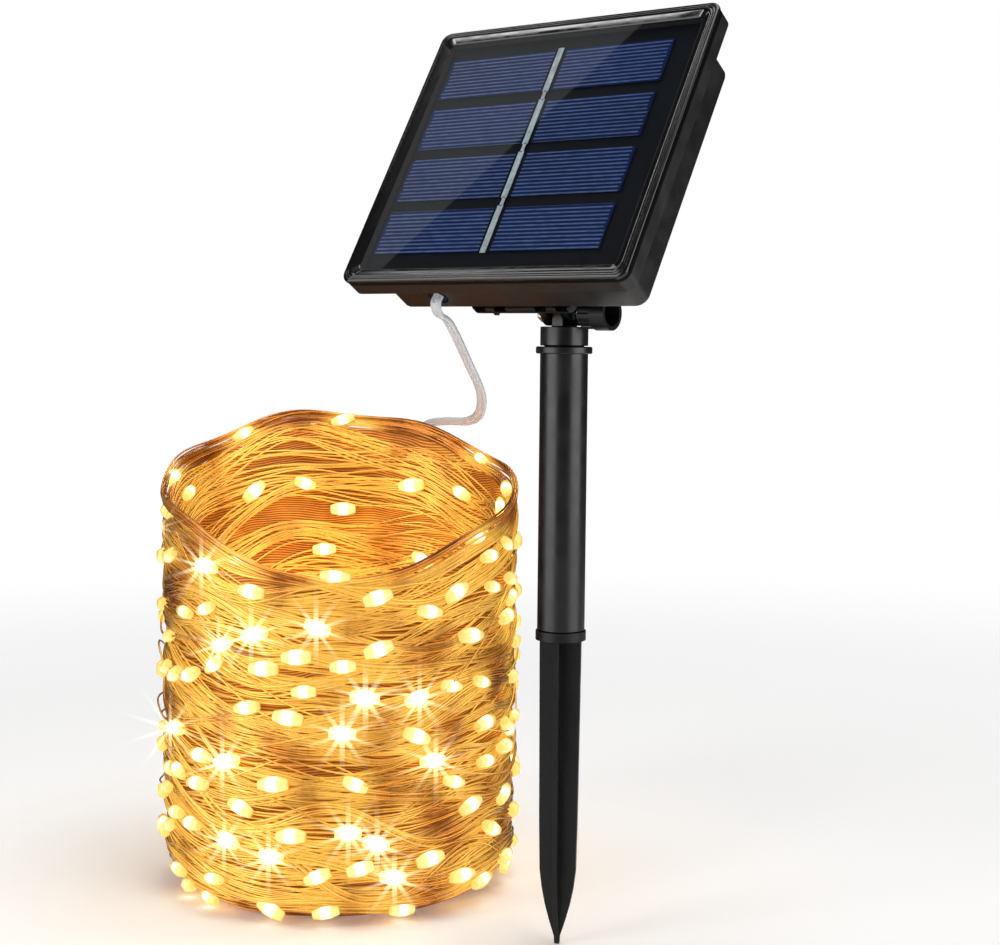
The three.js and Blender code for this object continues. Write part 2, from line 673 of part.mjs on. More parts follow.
// The moulded joint between the lead and the copper string.
function stringSplice() {
  const end = LEAD_PATH.getPointAt(1);
  const heading = LEAD_PATH.getTangentAt(1);
  const turn = new THREE.Quaternion().setFromUnitVectors(new THREE.Vector3(0, 1, 0), heading);
  const geometry = new THREE.CylinderGeometry(2.6, 3, 14, 20).applyQuaternion(turn);
  const centre = end.clone().addScaledVector(heading, 7 + GAP);
  return solid(geometry.translate(centre.x, centre.y, centre.z));
}

// ---- Coil of lights -----------------------------------------------------------------------------

// The winding's body: a thick-walled barrel with a rounded base and a slanting rim.
function copperWinding() {
  const arcSteps = 3;
  const wall = COIL_OUTER_R - COIL_INNER_R;
  const top = COIL_MID_TOP_Z + 40; // above the rim's highest point before the slant is cut
  const centreR = COIL_OUTER_R - COIL_BASE_ROUND;
  const flatR = centreR - COIL_BASE_FLAT;
  const arc = (radius, from, to) =>
    Array.from({ length: arcSteps + 1 }, (unused, i) => {
      const turn = from + ((to - from) * i) / arcSteps;
      const [out, up] = [Math.sin(turn), Math.cos(turn)];
      return new THREE.Vector2(centreR + radius * out, COIL_BASE_ROUND - radius * up);
    });
  const profile = [
    new THREE.Vector2(flatR, 0),
    ...arc(COIL_BASE_ROUND, 0, Math.PI / 2),
    new THREE.Vector2(COIL_OUTER_R, top),
    new THREE.Vector2(COIL_INNER_R, top),
    ...arc(COIL_BASE_ROUND - wall, Math.PI / 2, 0),
    new THREE.Vector2(flatR, wall),
    new THREE.Vector2(flatR, 0),
  ];
  const lathe = new THREE.LatheGeometry(profile, 36).rotateX(Math.PI / 2);
  const reach = 2 * COIL_OUTER_R;
  const above = block([-reach, -reach, 0], [reach, reach, reach])
    .rotate([0, -THREE.MathUtils.radToDeg(COIL_SLANT), 0])
    .rotate([0, 0, THREE.MathUtils.radToDeg(COIL_HIGH_SIDE)])
    .translate([0, 0, COIL_MID_TOP_Z]);
  return cut(solid(lathe), above);
}

// One wound turn of the string of lights, carried round the winding, with a bead at each LED.
function ledString() {
  const radius = COIL_OUTER_R + GAP + BEAD_R;
  const low = COIL_BASE_ROUND + 3;
  const high = COIL_MID_TOP_Z - COIL_OUTER_R * Math.tan(COIL_SLANT) - 6;
  const place = (along) => {
    const turn = along * STRING_TURNS * 2 * Math.PI;
    const z = low + (high - low) * along;
    return new THREE.Vector3(radius * Math.cos(turn), radius * Math.sin(turn), z);
  };
  const steps = STRING_TURNS * STEPS_PER_TURN;
  const points = Array.from({ length: steps + 1 }, (unused, i) => place(i / steps));
  const wire = swept(polygonOutline(STRING_WIRE_R, 4), new THREE.CatmullRomCurve3(points), steps);
  const count = STRING_TURNS * BEADS_PER_TURN;
  const beads = Array.from({ length: count }, (unused, i) => {
    const along = (i + 0.5) / count;
    const heading = place(along + 0.001).sub(place(along - 0.001)).normalize();
    const turn = new THREE.Quaternion().setFromUnitVectors(new THREE.Vector3(0, 1, 0), heading);
    const middle = place(along);
    const bead = new THREE.CylinderGeometry(BEAD_R, BEAD_R, BEAD_LENGTH, 4).applyQuaternion(turn);
    return solid(bead.translate(middle.x, middle.y, middle.z));
  });
  return join(wire, ...beads);
}

// ---- Assembly -----------------------------------------------------------------------------------

function stakeGroup() {
  const group = new THREE.Group();
  group.add(
    part("ground_spike", groundSpike(), SATIN_BLACK),
    part("pole_tube", poleTube(), POLE_BLACK),
    part("tube_collar", tubeCollar(), POLE_BLACK),
    part("swivel_neck", swivelNeck(), POLE_BLACK),
  );
  return group;
}

function hingeGroup() {
  const group = new THREE.Group();
  group.add(
    part("mounting_bracket", bracket(), SATIN_BLACK),
    part("hinge_bolt", hingeBolt(), STEEL),
    part("hinge_washer", hingeWasher(), STEEL),
    part("thumb_knob", thumbKnob(), SATIN_BLACK),
    part("knob_insert", knobInsert(), BRASS),
  );
  [-1, 1].forEach((side, i) => {
    const screw = part(`bracket_screw_${i + 1}`, panScrew(2.8, 1.6, 1.2, 7.5), STEEL);
    screw.position.set(side * BRACKET_SCREW_X, BRACKET_SCREW_Y, PLATE_BACK - GAP);
    group.add(screw);
  });
  return group;
}

function panelGroup() {
  const group = new THREE.Group();
  group.position.set(0, HINGE_BELOW_CENTRE, HINGE_BEHIND_LIP);
  group.add(
    part("front_bezel", frontBezel(), GLOSS_BLACK),
    part("cover_glass", coverGlass(), GLASS),
    part("seal_gasket", sealGasket(), RUBBER),
    part("cell_tray", cellTray(), SATIN_BLACK),
    part("rear_housing", rearHousing(), SATIN_BLACK),
    part("battery_door", batteryDoor(), SATIN_BLACK),
    part("battery_cell", batteryCell(), BATTERY_WRAP),
    part("battery_spring", batterySpring(), STEEL),
    part("battery_contact", batteryContact(), STEEL),
    part("control_board", controlBoard(), BOARD_GREEN),
    part("controller_chip", controllerChip(), CHIP),
    part("inductor", inductor(), CHIP),
    part("power_switch", tactSwitch(POWER_PLACE), CHIP),
    part("mode_switch", tactSwitch(MODE_PLACE), CHIP),
    part("power_button", pushButton(POWER_PLACE), BUTTON),
    part("mode_button", pushButton(MODE_PLACE), BUTTON),
    part("cable_grommet", cableGrommet(), RUBBER),
  );
  const ribbon = part("bus_ribbon", busRibbon(), SILVER);
  ribbon.position.set(CELL_SHIFT_X + RIBBON_OFFSET, CELL_SHIFT_Y, 0);
  group.add(ribbon);
  for (let row = 0; row < CELL_ROWS; row += 1) {
    const cell = part(`solar_cell_${row + 1}`, solarCell(), CELL_BLUE);
    cell.position.set(CELL_SHIFT_X, CELL_SHIFT_Y + ((CELL_ROWS - 1) / 2 - row) * CELL_PITCH, 0);
    group.add(cell);
  }
  corners.forEach(([x, y], i) => {
    const screw = part(`housing_screw_${i + 1}`, panScrew(3, 0.8, 1.3, 12), STEEL);
    screw.position.set(x, y, TUB_BACK + 1.1);
    group.add(screw);
  });
  [-DOOR_SCREW_X, DOOR_SCREW_X].forEach((x, i) => {
    const screw = part(`door_screw_${i + 1}`, panScrew(2.2, 0.8, 0.9, 6), STEEL);
    screw.position.set(x, DOOR.y, TUB_BACK - 0.2);
    group.add(screw);
  });
  return group;
}

function headGroup() {
  const group = new THREE.Group();
  group.position.set(0, 0, HINGE_Z);
  group.rotation.x = Math.PI / 2 - PANEL_TILT;
  group.add(hingeGroup(), panelGroup());
  return group;
}

// The lead is parted where the head tilts and where it swivels, with room for both.
function leadGroup() {
  const group = new THREE.Group();
  const stretches = { lead_upper: [0, 0.292], lead_middle: [0.306, 0.595], lead_lower: [0.605, 1] };
  Object.entries(stretches).forEach(([name, [from, to]]) => {
    group.add(part(name, leadPiece(from, to), CLEAR_PVC));
  });
  group.add(part("string_splice", stringSplice(), RUBBER));
  return group;
}

function coilGroup() {
  const group = new THREE.Group();
  group.position.set(COIL_X, COIL_Y, 0);
  group.add(part("copper_winding", copperWinding(), COPPER), part("led_string", ledString(), LED));
  return group;
}

const stringLights = new THREE.Group();
stringLights.add(stakeGroup(), headGroup(), leadGroup(), coilGroup());

export default stringLights;
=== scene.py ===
"""Looks for the solar string lights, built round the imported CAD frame. Metres, +Z up."""

import json
from functools import partialmethod
from math import atan2, cos, hypot, pi, radians, sin

import bpy
import numpy as np
from mathutils import Matrix, Vector


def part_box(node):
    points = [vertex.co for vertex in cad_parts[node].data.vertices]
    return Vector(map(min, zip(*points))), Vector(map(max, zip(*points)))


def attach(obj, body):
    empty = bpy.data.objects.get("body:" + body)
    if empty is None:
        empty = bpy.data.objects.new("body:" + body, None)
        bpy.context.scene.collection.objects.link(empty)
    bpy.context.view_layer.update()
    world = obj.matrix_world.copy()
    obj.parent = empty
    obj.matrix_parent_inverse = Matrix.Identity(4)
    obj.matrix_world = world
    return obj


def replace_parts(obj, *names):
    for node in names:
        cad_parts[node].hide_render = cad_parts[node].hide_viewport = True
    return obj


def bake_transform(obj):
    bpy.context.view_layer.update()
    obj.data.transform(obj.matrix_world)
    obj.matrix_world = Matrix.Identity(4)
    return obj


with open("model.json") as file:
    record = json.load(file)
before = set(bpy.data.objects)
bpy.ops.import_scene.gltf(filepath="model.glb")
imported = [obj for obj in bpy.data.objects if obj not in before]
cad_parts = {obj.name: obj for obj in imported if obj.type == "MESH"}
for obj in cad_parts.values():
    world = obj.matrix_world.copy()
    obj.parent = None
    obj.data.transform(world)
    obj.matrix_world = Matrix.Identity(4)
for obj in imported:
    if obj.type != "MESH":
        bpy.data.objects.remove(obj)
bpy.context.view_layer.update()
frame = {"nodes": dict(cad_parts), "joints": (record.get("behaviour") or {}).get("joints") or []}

MM = 0.001
TAU = 2 * pi
EAST = Vector((1, 0, 0))  # across the panel
UP = Vector((0, 0, 1))

# ---- Places worked out from the frame ----

JOINTS = {joint["name"]: joint for joint in frame["joints"]}
PRESS_WAY = Vector(JOINTS["power_press"]["axis"]).normalized()  # out through the glass
SLOPE_UP = EAST.cross(-PRESS_WAY).normalized()  # up the panel's slope
if SLOPE_UP.z < 0:
    SLOPE_UP = -SLOPE_UP
COIL_LOW, COIL_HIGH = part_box("copper_winding")
COIL_CENTRE = Vector(((COIL_LOW.x + COIL_HIGH.x) / 2, (COIL_LOW.y + COIL_HIGH.y) / 2, 0))
COIL_R = (COIL_HIGH.x - COIL_LOW.x) / 2


def along_axis(node, direction):
    """The lowest and highest place of a CAD node along a direction."""
    reach = [vertex.co.dot(direction) for vertex in frame["nodes"][node].data.vertices]
    return min(reach), max(reach)


def across_panel(node):
    """The middle and the half width of a CAD node of the panel, in millimetres."""
    low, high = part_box(node)
    return (high.x + low.x) / 2 / MM, (high.x - low.x) / 2 / MM


LIP_PLANE = along_axis("front_bezel", PRESS_WAY)[1]
SLOPE_RANGE = along_axis("front_bezel", SLOPE_UP)
FACE_CENTRE = PRESS_WAY * LIP_PLANE + SLOPE_UP * (sum(SLOPE_RANGE) / 2)


def on_panel(across, up, out):
    """A point of the panel in millimetres: across, up the slope and out of the lip's plane."""
    return FACE_CENTRE + (EAST * across + SLOPE_UP * up + PRESS_WAY * out) * MM


# The camera, which also sets where the glass and the lip mirror things.
PICTURE_WIDTH = 1000
FOCAL_PIXELS = 1760
CAMERA_PLACE = Vector((0.36009, -0.53275, 0.2252))
CAMERA_HEADING = radians(36.10)
CAMERA_PITCH = radians(4.38)
CAMERA_ROLL = radians(0.544)
# Level ways from the camera.
RIGHT = Vector((cos(CAMERA_HEADING), sin(CAMERA_HEADING), 0))
AHEAD = Vector((-sin(CAMERA_HEADING), cos(CAMERA_HEADING), 0))
HALF_W = across_panel("front_bezel")[1]
HALF_H = (SLOPE_RANGE[1] - SLOPE_RANGE[0]) / 2 / MM
PAINTED_WINDOW_EDGE = ((29.2, 50.5), (-43.7, -50.4))  # where the painted reflection of a window's edge crosses the glass, in millimetres
PAINTED_WINDOW_STRENGTH = 0.42
GLASS_OUT = -1.2
MIRRORED_SHARE = 0.05  # of the coil's glow, in what glossy faces mirror
MIRRORED_SPARK = 0.02


def mirror_way(spot, facing=PRESS_WAY, out=GLASS_OUT):
    """The way the camera's sight goes on from a spot of the panel that faces a given way."""
    sight = (on_panel(*spot, out) - CAMERA_PLACE).normalized()
    return sight - facing * 2 * sight.dot(facing)


# ---- Shader helper ----


class Shader:
    """A node material, with short calls for the nodes used here."""

    def __init__(self, name):
        self.material = bpy.data.materials.new(name)
        self.material.use_nodes = True
        self.tree = self.material.node_tree
        self.surface = self.tree.nodes["Principled BSDF"]
        self.output = self.tree.nodes["Material Output"]

    def add(self, kind, output=0, plugs=(), **settings):
        """One output of a new node, with its settings made and values or sockets plugged into its inputs."""
        made = self.tree.nodes.new("ShaderNode" + kind)
        for name, value in settings.items():
            setattr(made, name, value)
        for place, source in dict(plugs).items():
            self.plug(source, made.inputs[place])
        return made.outputs[output]

    def plug(self, source, target):
        if isinstance(source, bpy.types.NodeSocket):
            self.tree.links.new(source, target)
        else:
            target.default_value = source

    def set(self, **values):
        for name, value in values.items():
            self.plug(value, self.surface.inputs[name.replace("_", " ")])
        return self

    def place(self, kind="Object"):
        return self.add("TexCoord", kind)

    def seen_by(self, rays):
        """1 for the rays of a kind, and 0 for the rest."""
        return self.add("LightPath", f"Is {rays} Ray")

    def maths(self, operation, a, b=0.0):
        return self.add("Math", 0, {0: a, 1: b}, operation=operation)

    times = partialmethod(maths, "MULTIPLY")
    plus = partialmethod(maths, "ADD")
    minus = partialmethod(maths, "SUBTRACT")

    def apart(self, a, b):
        """How far two values lie apart."""
        return self.maths("ABSOLUTE", self.minus(a, b))

    def dot(self, a, b):
        return self.add("VectorMath", "Value", {0: a, 1: b}, operation="DOT_PRODUCT")

    def noise(self, scale, detail=3.0, place=None):
        plugs = {"Vector": self.place() if place is None else place, "Scale": scale, "Detail": detail}
        return self.add("TexNoise", "Fac", plugs)

    def stretched(self, x, y, z):
        return self.add("Mapping", "Vector", {"Vector": self.place(), "Scale": (x, y, z)})

    def step(self, value, low, high, low_to=0.0, high_to=1.0):
        """A smooth step from one level to another as the value goes from low to high."""
        plugs = {"Value": value, "From Min": low, "From Max": high, "To Min": low_to, "To Max": high_to}
        return self.add("MapRange", "Result", plugs, interpolation_type="SMOOTHSTEP")

    def uneven(self, scale, detail, low_to, high_to, low=0.3, high=0.7):
        """A level that wanders between two others."""
        return self.step(self.noise(scale, detail), low, high, low_to, high_to)

    def mix(self, factor, a, b):
        a, b = (c if isinstance(c, bpy.types.NodeSocket) else (*c, 1.0) for c in (a, b))
        return self.add("Mix", 2, {0: factor, 6: a, 7: b}, data_type="RGBA")

    def colour(self, factor, a, b):
        return self.set(Base_Color=self.mix(factor, a, b))

    def glow(self, colour, power, mirrored=MIRRORED_SHARE):
        """A glow that shows only in part where something glossy mirrors it."""
        power = self.times(power, self.unless_mirrored(mirrored))
        return self.set(Emission_Color=colour, Emission_Strength=power)

    def facing(self, blend):
        """0 where a surface faces the eye, and 1 at its outline."""
        return self.add("LayerWeight", "Facing", {"Blend": blend})

    def surfaces(self, share, first, second):
        """Two surfaces mixed."""
        return self.add("MixShader", 0, {0: share, 1: first, 2: second})

    def show(self, surface):
        self.plug(surface, self.output.inputs["Surface"])
        return self.material

    def attribute(self, name):
        """A number kept on the mesh's points."""
        return self.add("Attribute", "Fac", attribute_name=name)

    def unless_mirrored(self, share):
        """1, or a smaller share for what glossy faces mirror, so that the lamps don't tint them."""
        return self.step(self.seen_by("Glossy"), 0, 1, 1.0, share)

    def bump(self, height, strength, distance):
        plugs = {"Height": height, "Strength": strength, "Distance": distance}
        return self.set(Normal=self.add("Bump", "Normal", plugs)).material

    def panel_place(self):
        """Sockets for across and up the panel, in millimetres from its centre."""
        place = self.place()
        across = self.times(self.dot(place, (1, 0, 0)), 1 / MM)
        up = self.times(self.dot(place, tuple(SLOPE_UP)), 1 / MM)
        return across, self.minus(up, FACE_CENTRE.dot(SLOPE_UP) / MM)


# ---- Materials ----


def plastic(name, colour, roughness, grain=900.0, relief=0.12, shine=0.5, groove=None):
    """Moulded plastic: fine grain, slightly uneven, with a dark groove if one is given as its depth behind the
    lip's plane and its half width, in millimetres."""
    look = Shader(name)
    pale = tuple(c * 1.6 + 0.001 for c in colour)
    look.colour(look.uneven(35, 4, 0.0, 0.4, 0.3, 0.75), colour, pale)
    look.set(Roughness=look.uneven(120, 3, roughness - 0.05, roughness + 0.07))
    if groove:
        depth = look.minus(LIP_PLANE / MM, look.times(look.dot(look.place(), tuple(PRESS_WAY)), 1 / MM))
        shine = look.step(look.apart(depth, groove[0]), groove[1] - 0.15, groove[1], 0.03, shine)
    look.set(Specular_IOR_Level=shine)
    return look.bump(look.noise(grain, 2), relief, 0.0002)


def metal(name, dark, bright, roughness):
    """Plated or turned metal with a mottled tone."""
    look = Shader(name)
    look.colour(look.noise(300, 4), dark, bright).set(Metallic=1.0)
    look.set(Roughness=look.uneven(800, 3, roughness, roughness + 0.2, 0.2, 0.8))
    return look.bump(look.noise(2200, 2), 0.1, 0.0001)


def solar_cell():
    """Blue silicon: pale fingers across each row, with ragged ends and bare black beside the ribbon."""
    look = Shader("solar_cell")
    across, up = look.panel_place()
    blue = look.mix(look.uneven(26, 2, 0, 1), (0.001, 0.006, 0.038), (0.0035, 0.016, 0.085))
    crystal = look.add("TexVoronoi", "Color", {"Vector": look.place(), "Scale": 240}, feature="F1")
    blue = look.mix(0.25, blue, look.mix(crystal, (0.001, 0.005, 0.03), (0.006, 0.02, 0.1)))
    row = look.plus(up, FINGER_PITCH * 100 + FINGER_SHIFT)
    from_line = look.maths("PINGPONG", row, FINGER_PITCH / 2)
    number = look.maths("FLOOR", look.plus(look.maths("DIVIDE", row, FINGER_PITCH), 0.5))
    ragged = look.add("TexWhiteNoise", "Value", {"W": number}, noise_dimensions="1D")
    end = look.minus(look.apart(across, CELL_MIDDLE), ragged)
    inside = look.step(end, CELL_HALF - 1.9, CELL_HALF - 1.2, 1.0, 0.0)
    line = look.times(look.step(from_line, 0.16, 0.46, 1.0, 0.0), inside)
    along = look.noise(1.0, 2, look.stretched(260, 1200, 1200))
    line = look.times(line, look.step(along, 0.25, 0.7, 0.55, 1.0))
    colour = look.mix(line, blue, (0.12, 0.17, 0.33))
    beside = look.apart(across, RIBBON_PLACE)
    gutter = look.step(beside, RIBBON_HALF + 1.2, RIBBON_HALF + 1.5, 1.0, 0.0)
    look.colour(gutter, colour, (0.002, 0.0025, 0.004))
    look.set(Roughness=look.step(line, 0.0, 1.0, 0.42, 0.3), Specular_IOR_Level=0.06)
    return look.bump(line, 0.15, 0.0001)


def tinned_ribbon():
    look = Shader("tinned_ribbon")
    flow = look.noise(1.0, 3, look.stretched(900, 200, 200))
    tone = look.plus(look.times(flow, 0.6), look.times(look.noise(900, 3), 0.4))
    look.colour(look.step(tone, 0.3, 0.7), (0.36, 0.38, 0.36), (0.66, 0.68, 0.66))
    look.set(Metallic=0.25, Roughness=look.uneven(900, 3, 0.35, 0.55, 0.2, 0.8))
    return look.bump(look.noise(1500, 3), 0.25, 0.0001)


def mask_black():
    """The black sheet behind and between the cells."""
    look = Shader("cell_mask")
    look.colour(look.noise(60), (0.0018, 0.002, 0.003), (0.005, 0.006, 0.009))
    look.set(Roughness=look.uneven(200, 3, 0.4, 0.55, 0.2, 0.8), Specular_IOR_Level=0.06)
    return look.material


def clear_cover():
    """Cover glass: clear, with a faint mirror and a painted reflection of one slanted window edge."""
    look = Shader("clear_cover")
    mirror = look.add("BsdfGlossy", 0, {"Roughness": 0.0})
    tint = look.mix(look.uneven(14, 3, 0, 1, 0.35, 0.75), (0.9, 0.94, 0.98), (0.97, 0.98, 1.0))
    clear = look.add("BsdfTransparent", 0, {"Color": tint})
    fresnel = look.add("Fresnel", 0, {"IOR": 1.5})
    back = look.add("NewGeometry", "Backfacing")
    share = look.times(fresnel, look.minus(1.0, back))
    glass = look.surfaces(look.times(share, 0.6), clear, mirror)
    # Painted reflection: the glass glows on one side of a window's edge, in the way it mirrors the camera's
    # sight.
    edge = mirror_way(PAINTED_WINDOW_EDGE[0]).cross(mirror_way(PAINTED_WINDOW_EDGE[1])).normalized()
    if edge.dot(mirror_way((-HALF_W, HALF_H))) < 0:
        edge = -edge
    over = look.dot(look.place("Reflection"), tuple(edge))
    lit = look.times(look.step(over, -0.0006, 0.0006), PAINTED_WINDOW_STRENGTH)
    window = look.add("Emission", 0, {"Strength": look.times(lit, share)})
    return look.show(look.add("AddShader", 0, {0: glass, 1: window}))


def clear_pvc():
    """Flexible clear PVC: a slightly milky skin over the wires inside, brightened by a faint painted glow."""
    look = Shader("clear_pvc")
    look.colour(look.noise(220), (0.86, 0.89, 0.92), (0.96, 0.98, 1.0))
    look.set(Roughness=look.uneven(420, 2, 0.06, 0.16), IOR=1.46, Transmission_Weight=0.4)
    # Painted light: a faint white glow that brightens the skin.
    look.set(Emission_Color=(0.9, 0.95, 1.0, 1.0), Emission_Strength=0.14)
    return look.bump(look.noise(500, 2), 0.06, 0.0002)


def copper_wire():
    """Enamelled copper wire. Each wire has its own tone, painted light from the drops near it, and painted
    shade at its edges.
    """
    look = Shader("copper_wire")
    tone = look.plus(look.attribute("tone"), look.uneven(120, 2, -0.25, 0.25))
    colour = look.mix(look.step(tone, 0.15, 0.85), (0.2, 0.045, 0.003), (0.78, 0.29, 0.045))
    glow = look.attribute("glow")
    # Painted light: near the drops the wire's colour turns bright orange.
    colour = look.mix(look.step(glow, 0.2, 1.2), colour, (0.96, 0.46, 0.08))
    # Painted shade: each wire darkens towards its outline, where it meets its neighbours.
    outline = look.step(look.facing(0.5), 0.45, 0.92)
    # Painted shade in reflections: what glossy faces mirror of a wire is nearly black.
    bare = look.mix(look.unless_mirrored(MIRRORED_SHARE), (0.01, 0.004, 0.001), colour)
    look.colour(outline, bare, (0.13, 0.032, 0.002))
    look.set(Metallic=0.5, Roughness=look.uneven(260, 3, 0.26, 0.4))
    # Painted glow: from the drops' light, and faintly from each wire's tone; weaker in the painted shade at its
    # edges.
    warm = look.mix(look.step(glow, 0.15, 1.0), (1.0, 0.29, 0.015), (1.0, 0.58, 0.085))
    power = look.plus(look.times(glow, 0.37), look.times(tone, 0.15))
    return look.glow(warm, look.times(power, look.step(outline, 0, 1, 1.0, 0.12))).material


def glowing_core():
    """The deeper turns, seen as an orange glow between the outer wires."""
    look = Shader("copper_deep")
    patch = look.noise(38, 3)
    drift = look.plus(look.times(look.noise(16, 2), 130), look.times(look.noise(60, 2), 7))
    height = look.plus(look.times(look.dot(look.place(), (0, 0, 1)), 5600), drift)
    fine = look.step(look.maths("SINE", height), -1.0, 1.0)
    # Painted shade: between the fine turns the colour is darker and the glow weaker.
    glow = look.times(look.step(patch, 0.38, 0.68, 0.35, 1.0), look.step(fine, 0.1, 0.8, 0.5, 1.0))
    look.colour(fine, (0.16, 0.04, 0.003), (0.6, 0.22, 0.03)).set(Roughness=0.5, Metallic=0.4)
    look.glow(look.mix(glow, (0.9, 0.22, 0.01), (1.0, 0.42, 0.045)), look.times(glow, 0.7))
    return look.bump(fine, 0.6, 0.0005)


def led_drop(name, strength):
    """A lit resin drop: white-hot in the middle, pale yellow at its ends and amber round its rim."""
    look = Shader(name)
    place = look.add("UVMap", "UV", uv_map="OFBake")
    from_middle = look.apart(look.add("SeparateXYZ", "X", {0: place}), 0.5)
    body = look.step(from_middle, 0.04, 0.34)
    end = look.step(from_middle, 0.4, 0.47)
    rim = look.step(look.facing(0.4), 0.3, 0.85)
    colour = look.mix(body, (1.0, 0.97, 0.84), (1.0, 0.81, 0.28))
    colour = look.mix(rim, look.mix(end, colour, (1.0, 0.66, 0.16)), (1.0, 0.6, 0.08))
    power = look.times(look.step(body, 0, 1, strength, strength * 0.6), look.step(rim, 0, 1, 1.0, 0.55))
    return look.glow(colour, power).set(Base_Color=(0.5, 0.36, 0.1, 1.0), Roughness=0.2).material


def spark():
    """The diode's own tiny point of light."""
    look = Shader("led_spark")
    look.glow((1.0, 0.9, 0.66, 1.0), SPARK_STRENGTH, MIRRORED_SPARK)
    return look.set(Base_Color=(1, 0.95, 0.8, 1)).material


def circuit_green():
    look = Shader("solder_mask")
    across, up = look.panel_place()
    trace = look.maths("PINGPONG", look.plus(across, 1000.0), 1.1)
    line = look.step(trace, 0.25, 0.4, 1.0, 0.0)
    pattern = look.times(line, look.step(look.noise(160, 1), 0.48, 0.52))
    look.colour(pattern, (0.012, 0.1, 0.035), (0.03, 0.2, 0.07)).set(Roughness=0.35)
    return look.bump(pattern, 0.3, 0.0001)


def shrink_sleeve():
    look = Shader("battery_sleeve")
    across, up = look.panel_place()
    band = look.step(across, 12.0, 12.4)
    body = look.mix(look.noise(80), (0.02, 0.16, 0.06), (0.03, 0.22, 0.08))
    look.colour(band, body, (0.55, 0.56, 0.58)).set(Roughness=0.28)
    return look.bump(look.noise(400), 0.08, 0.0002)


# ---- Mesh helpers ----


def placed(name, data):
    """A new object in the scene."""
    made = bpy.data.objects.new(name, data)
    bpy.context.scene.collection.objects.link(made)
    return made


def mesh_piece(name, vertices, faces, material, smooth_angle=35):
    """A new mesh piece, smooth but for its true edges."""
    mesh = bpy.data.meshes.new(name)
    mesh.from_pydata([tuple(v) for v in vertices], [], [tuple(int(i) for i in face) for face in faces])
    mesh.validate()
    mesh.materials.append(material)
    mesh.polygons.foreach_set("use_smooth", [True] * len(mesh.polygons))
    mesh.set_sharp_from_angle(angle=radians(smooth_angle))
    return placed(name, mesh)


def bevelled(piece, width, segments=3, angle=30):
    """Rounds a piece's sharp edges."""
    bevel = piece.modifiers.new("edges", "BEVEL")
    bevel.width = width
    bevel.segments = segments
    bevel.limit_method = "ANGLE"
    bevel.angle_limit = radians(angle)
    bevel.harden_normals = True
    return piece


def quad_piece(name, vertices, faces, u, v, material):
    """A smooth mesh of many quads on the stake's body, with the places of their corners on the map."""
    mesh = bpy.data.meshes.new(name)
    mesh.vertices.add(len(vertices))
    mesh.vertices.foreach_set("co", vertices.astype(np.float32).ravel())
    mesh.loops.add(faces.size)
    mesh.loops.foreach_set("vertex_index", faces.astype(np.int32).ravel())
    mesh.polygons.add(len(faces))
    mesh.polygons.foreach_set("loop_start", np.arange(0, faces.size, 4, dtype=np.int32))
    mesh.polygons.foreach_set("use_smooth", np.ones(len(faces), bool))
    mesh.update(calc_edges=True)
    layer = mesh.uv_layers.new(name="OFBake")
    layer.data.foreach_set("uv", np.stack([u, v], -1).astype(np.float32).ravel())
    mesh.materials.append(material)
    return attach(placed(name, mesh), "stake")


def welded(piece):
    """Joins corners that lie in the same place."""
    piece.modifiers.new("weld", "WELD").merge_threshold = 1e-6


def grid_faces(rows, columns, joined=False):
    """Quads over rows of points that close sideways, and from the last row to the first if joined."""
    i, j = np.indices((rows if joined else rows - 1, columns))
    ahead, beside = (i + 1) % rows * columns, (j + 1) % columns
    return np.stack([i * columns + j, i * columns + beside, ahead + beside, ahead + j], -1).reshape(-1, 4)


def unit(vectors):
    return vectors / np.linalg.norm(vectors, axis=-1, keepdims=True)


def carried(path, across):
    """The ways along an open path, and a direction across it that is carried along without a twist."""
    ways, sides = unit(np.gradient(path, axis=0)), []
    for way in ways:
        across = unit(across - way * (across @ way))
        sides.append(across)
    return ways, sides


def swept(path, section, across):
    """Vertices and faces of a flat section (across, over) carried along an open path."""
    vertices = []
    for point, way, side in zip(path, *carried(path, across)):
        over = np.cross(way, side)
        vertices += [point + side * a + over * b for a, b in section]
    count, last = len(section), len(vertices) - len(section)
    return vertices, [*grid_faces(len(path), count), reversed(range(count)), range(last, last + count)]


def circle(radius, sides, centre):
    """Points round a circle."""
    turns = np.arange(sides) / sides * TAU
    return [(centre[0] + radius * cos(t), centre[1] + radius * sin(t)) for t in turns]


def smooth_curve(points, count):
    """A smooth curve through points, evenly stepped."""
    points = np.array(points)
    keys = np.concatenate([[0], np.cumsum(np.linalg.norm(np.diff(points, axis=0), axis=1))])
    padded = np.concatenate([[2 * points[0] - points[1]], points, [2 * points[-1] - points[-2]]])
    out = []
    for s in np.linspace(0, keys[-1], count):
        i = min(np.searchsorted(keys, s, side="right") - 1, len(points) - 2)
        t = (s - keys[i]) / (keys[i + 1] - keys[i])
        p0, p1, p2, p3 = padded[i:i + 4]
        out.append(0.5 * (2 * p1 + (p2 - p0) * t + (2 * p0 - 5 * p1 + 4 * p2 - p3) * t**2
                          + (3 * p1 - p0 - 3 * p2 + p3) * t**3))
    return np.array(out)


# ---- Panel face ----

OUTER_CORNER = 4.0
INNER_CORNER = 2.4
LIP_INSIDE = 5.6
RIDGE = 3.1
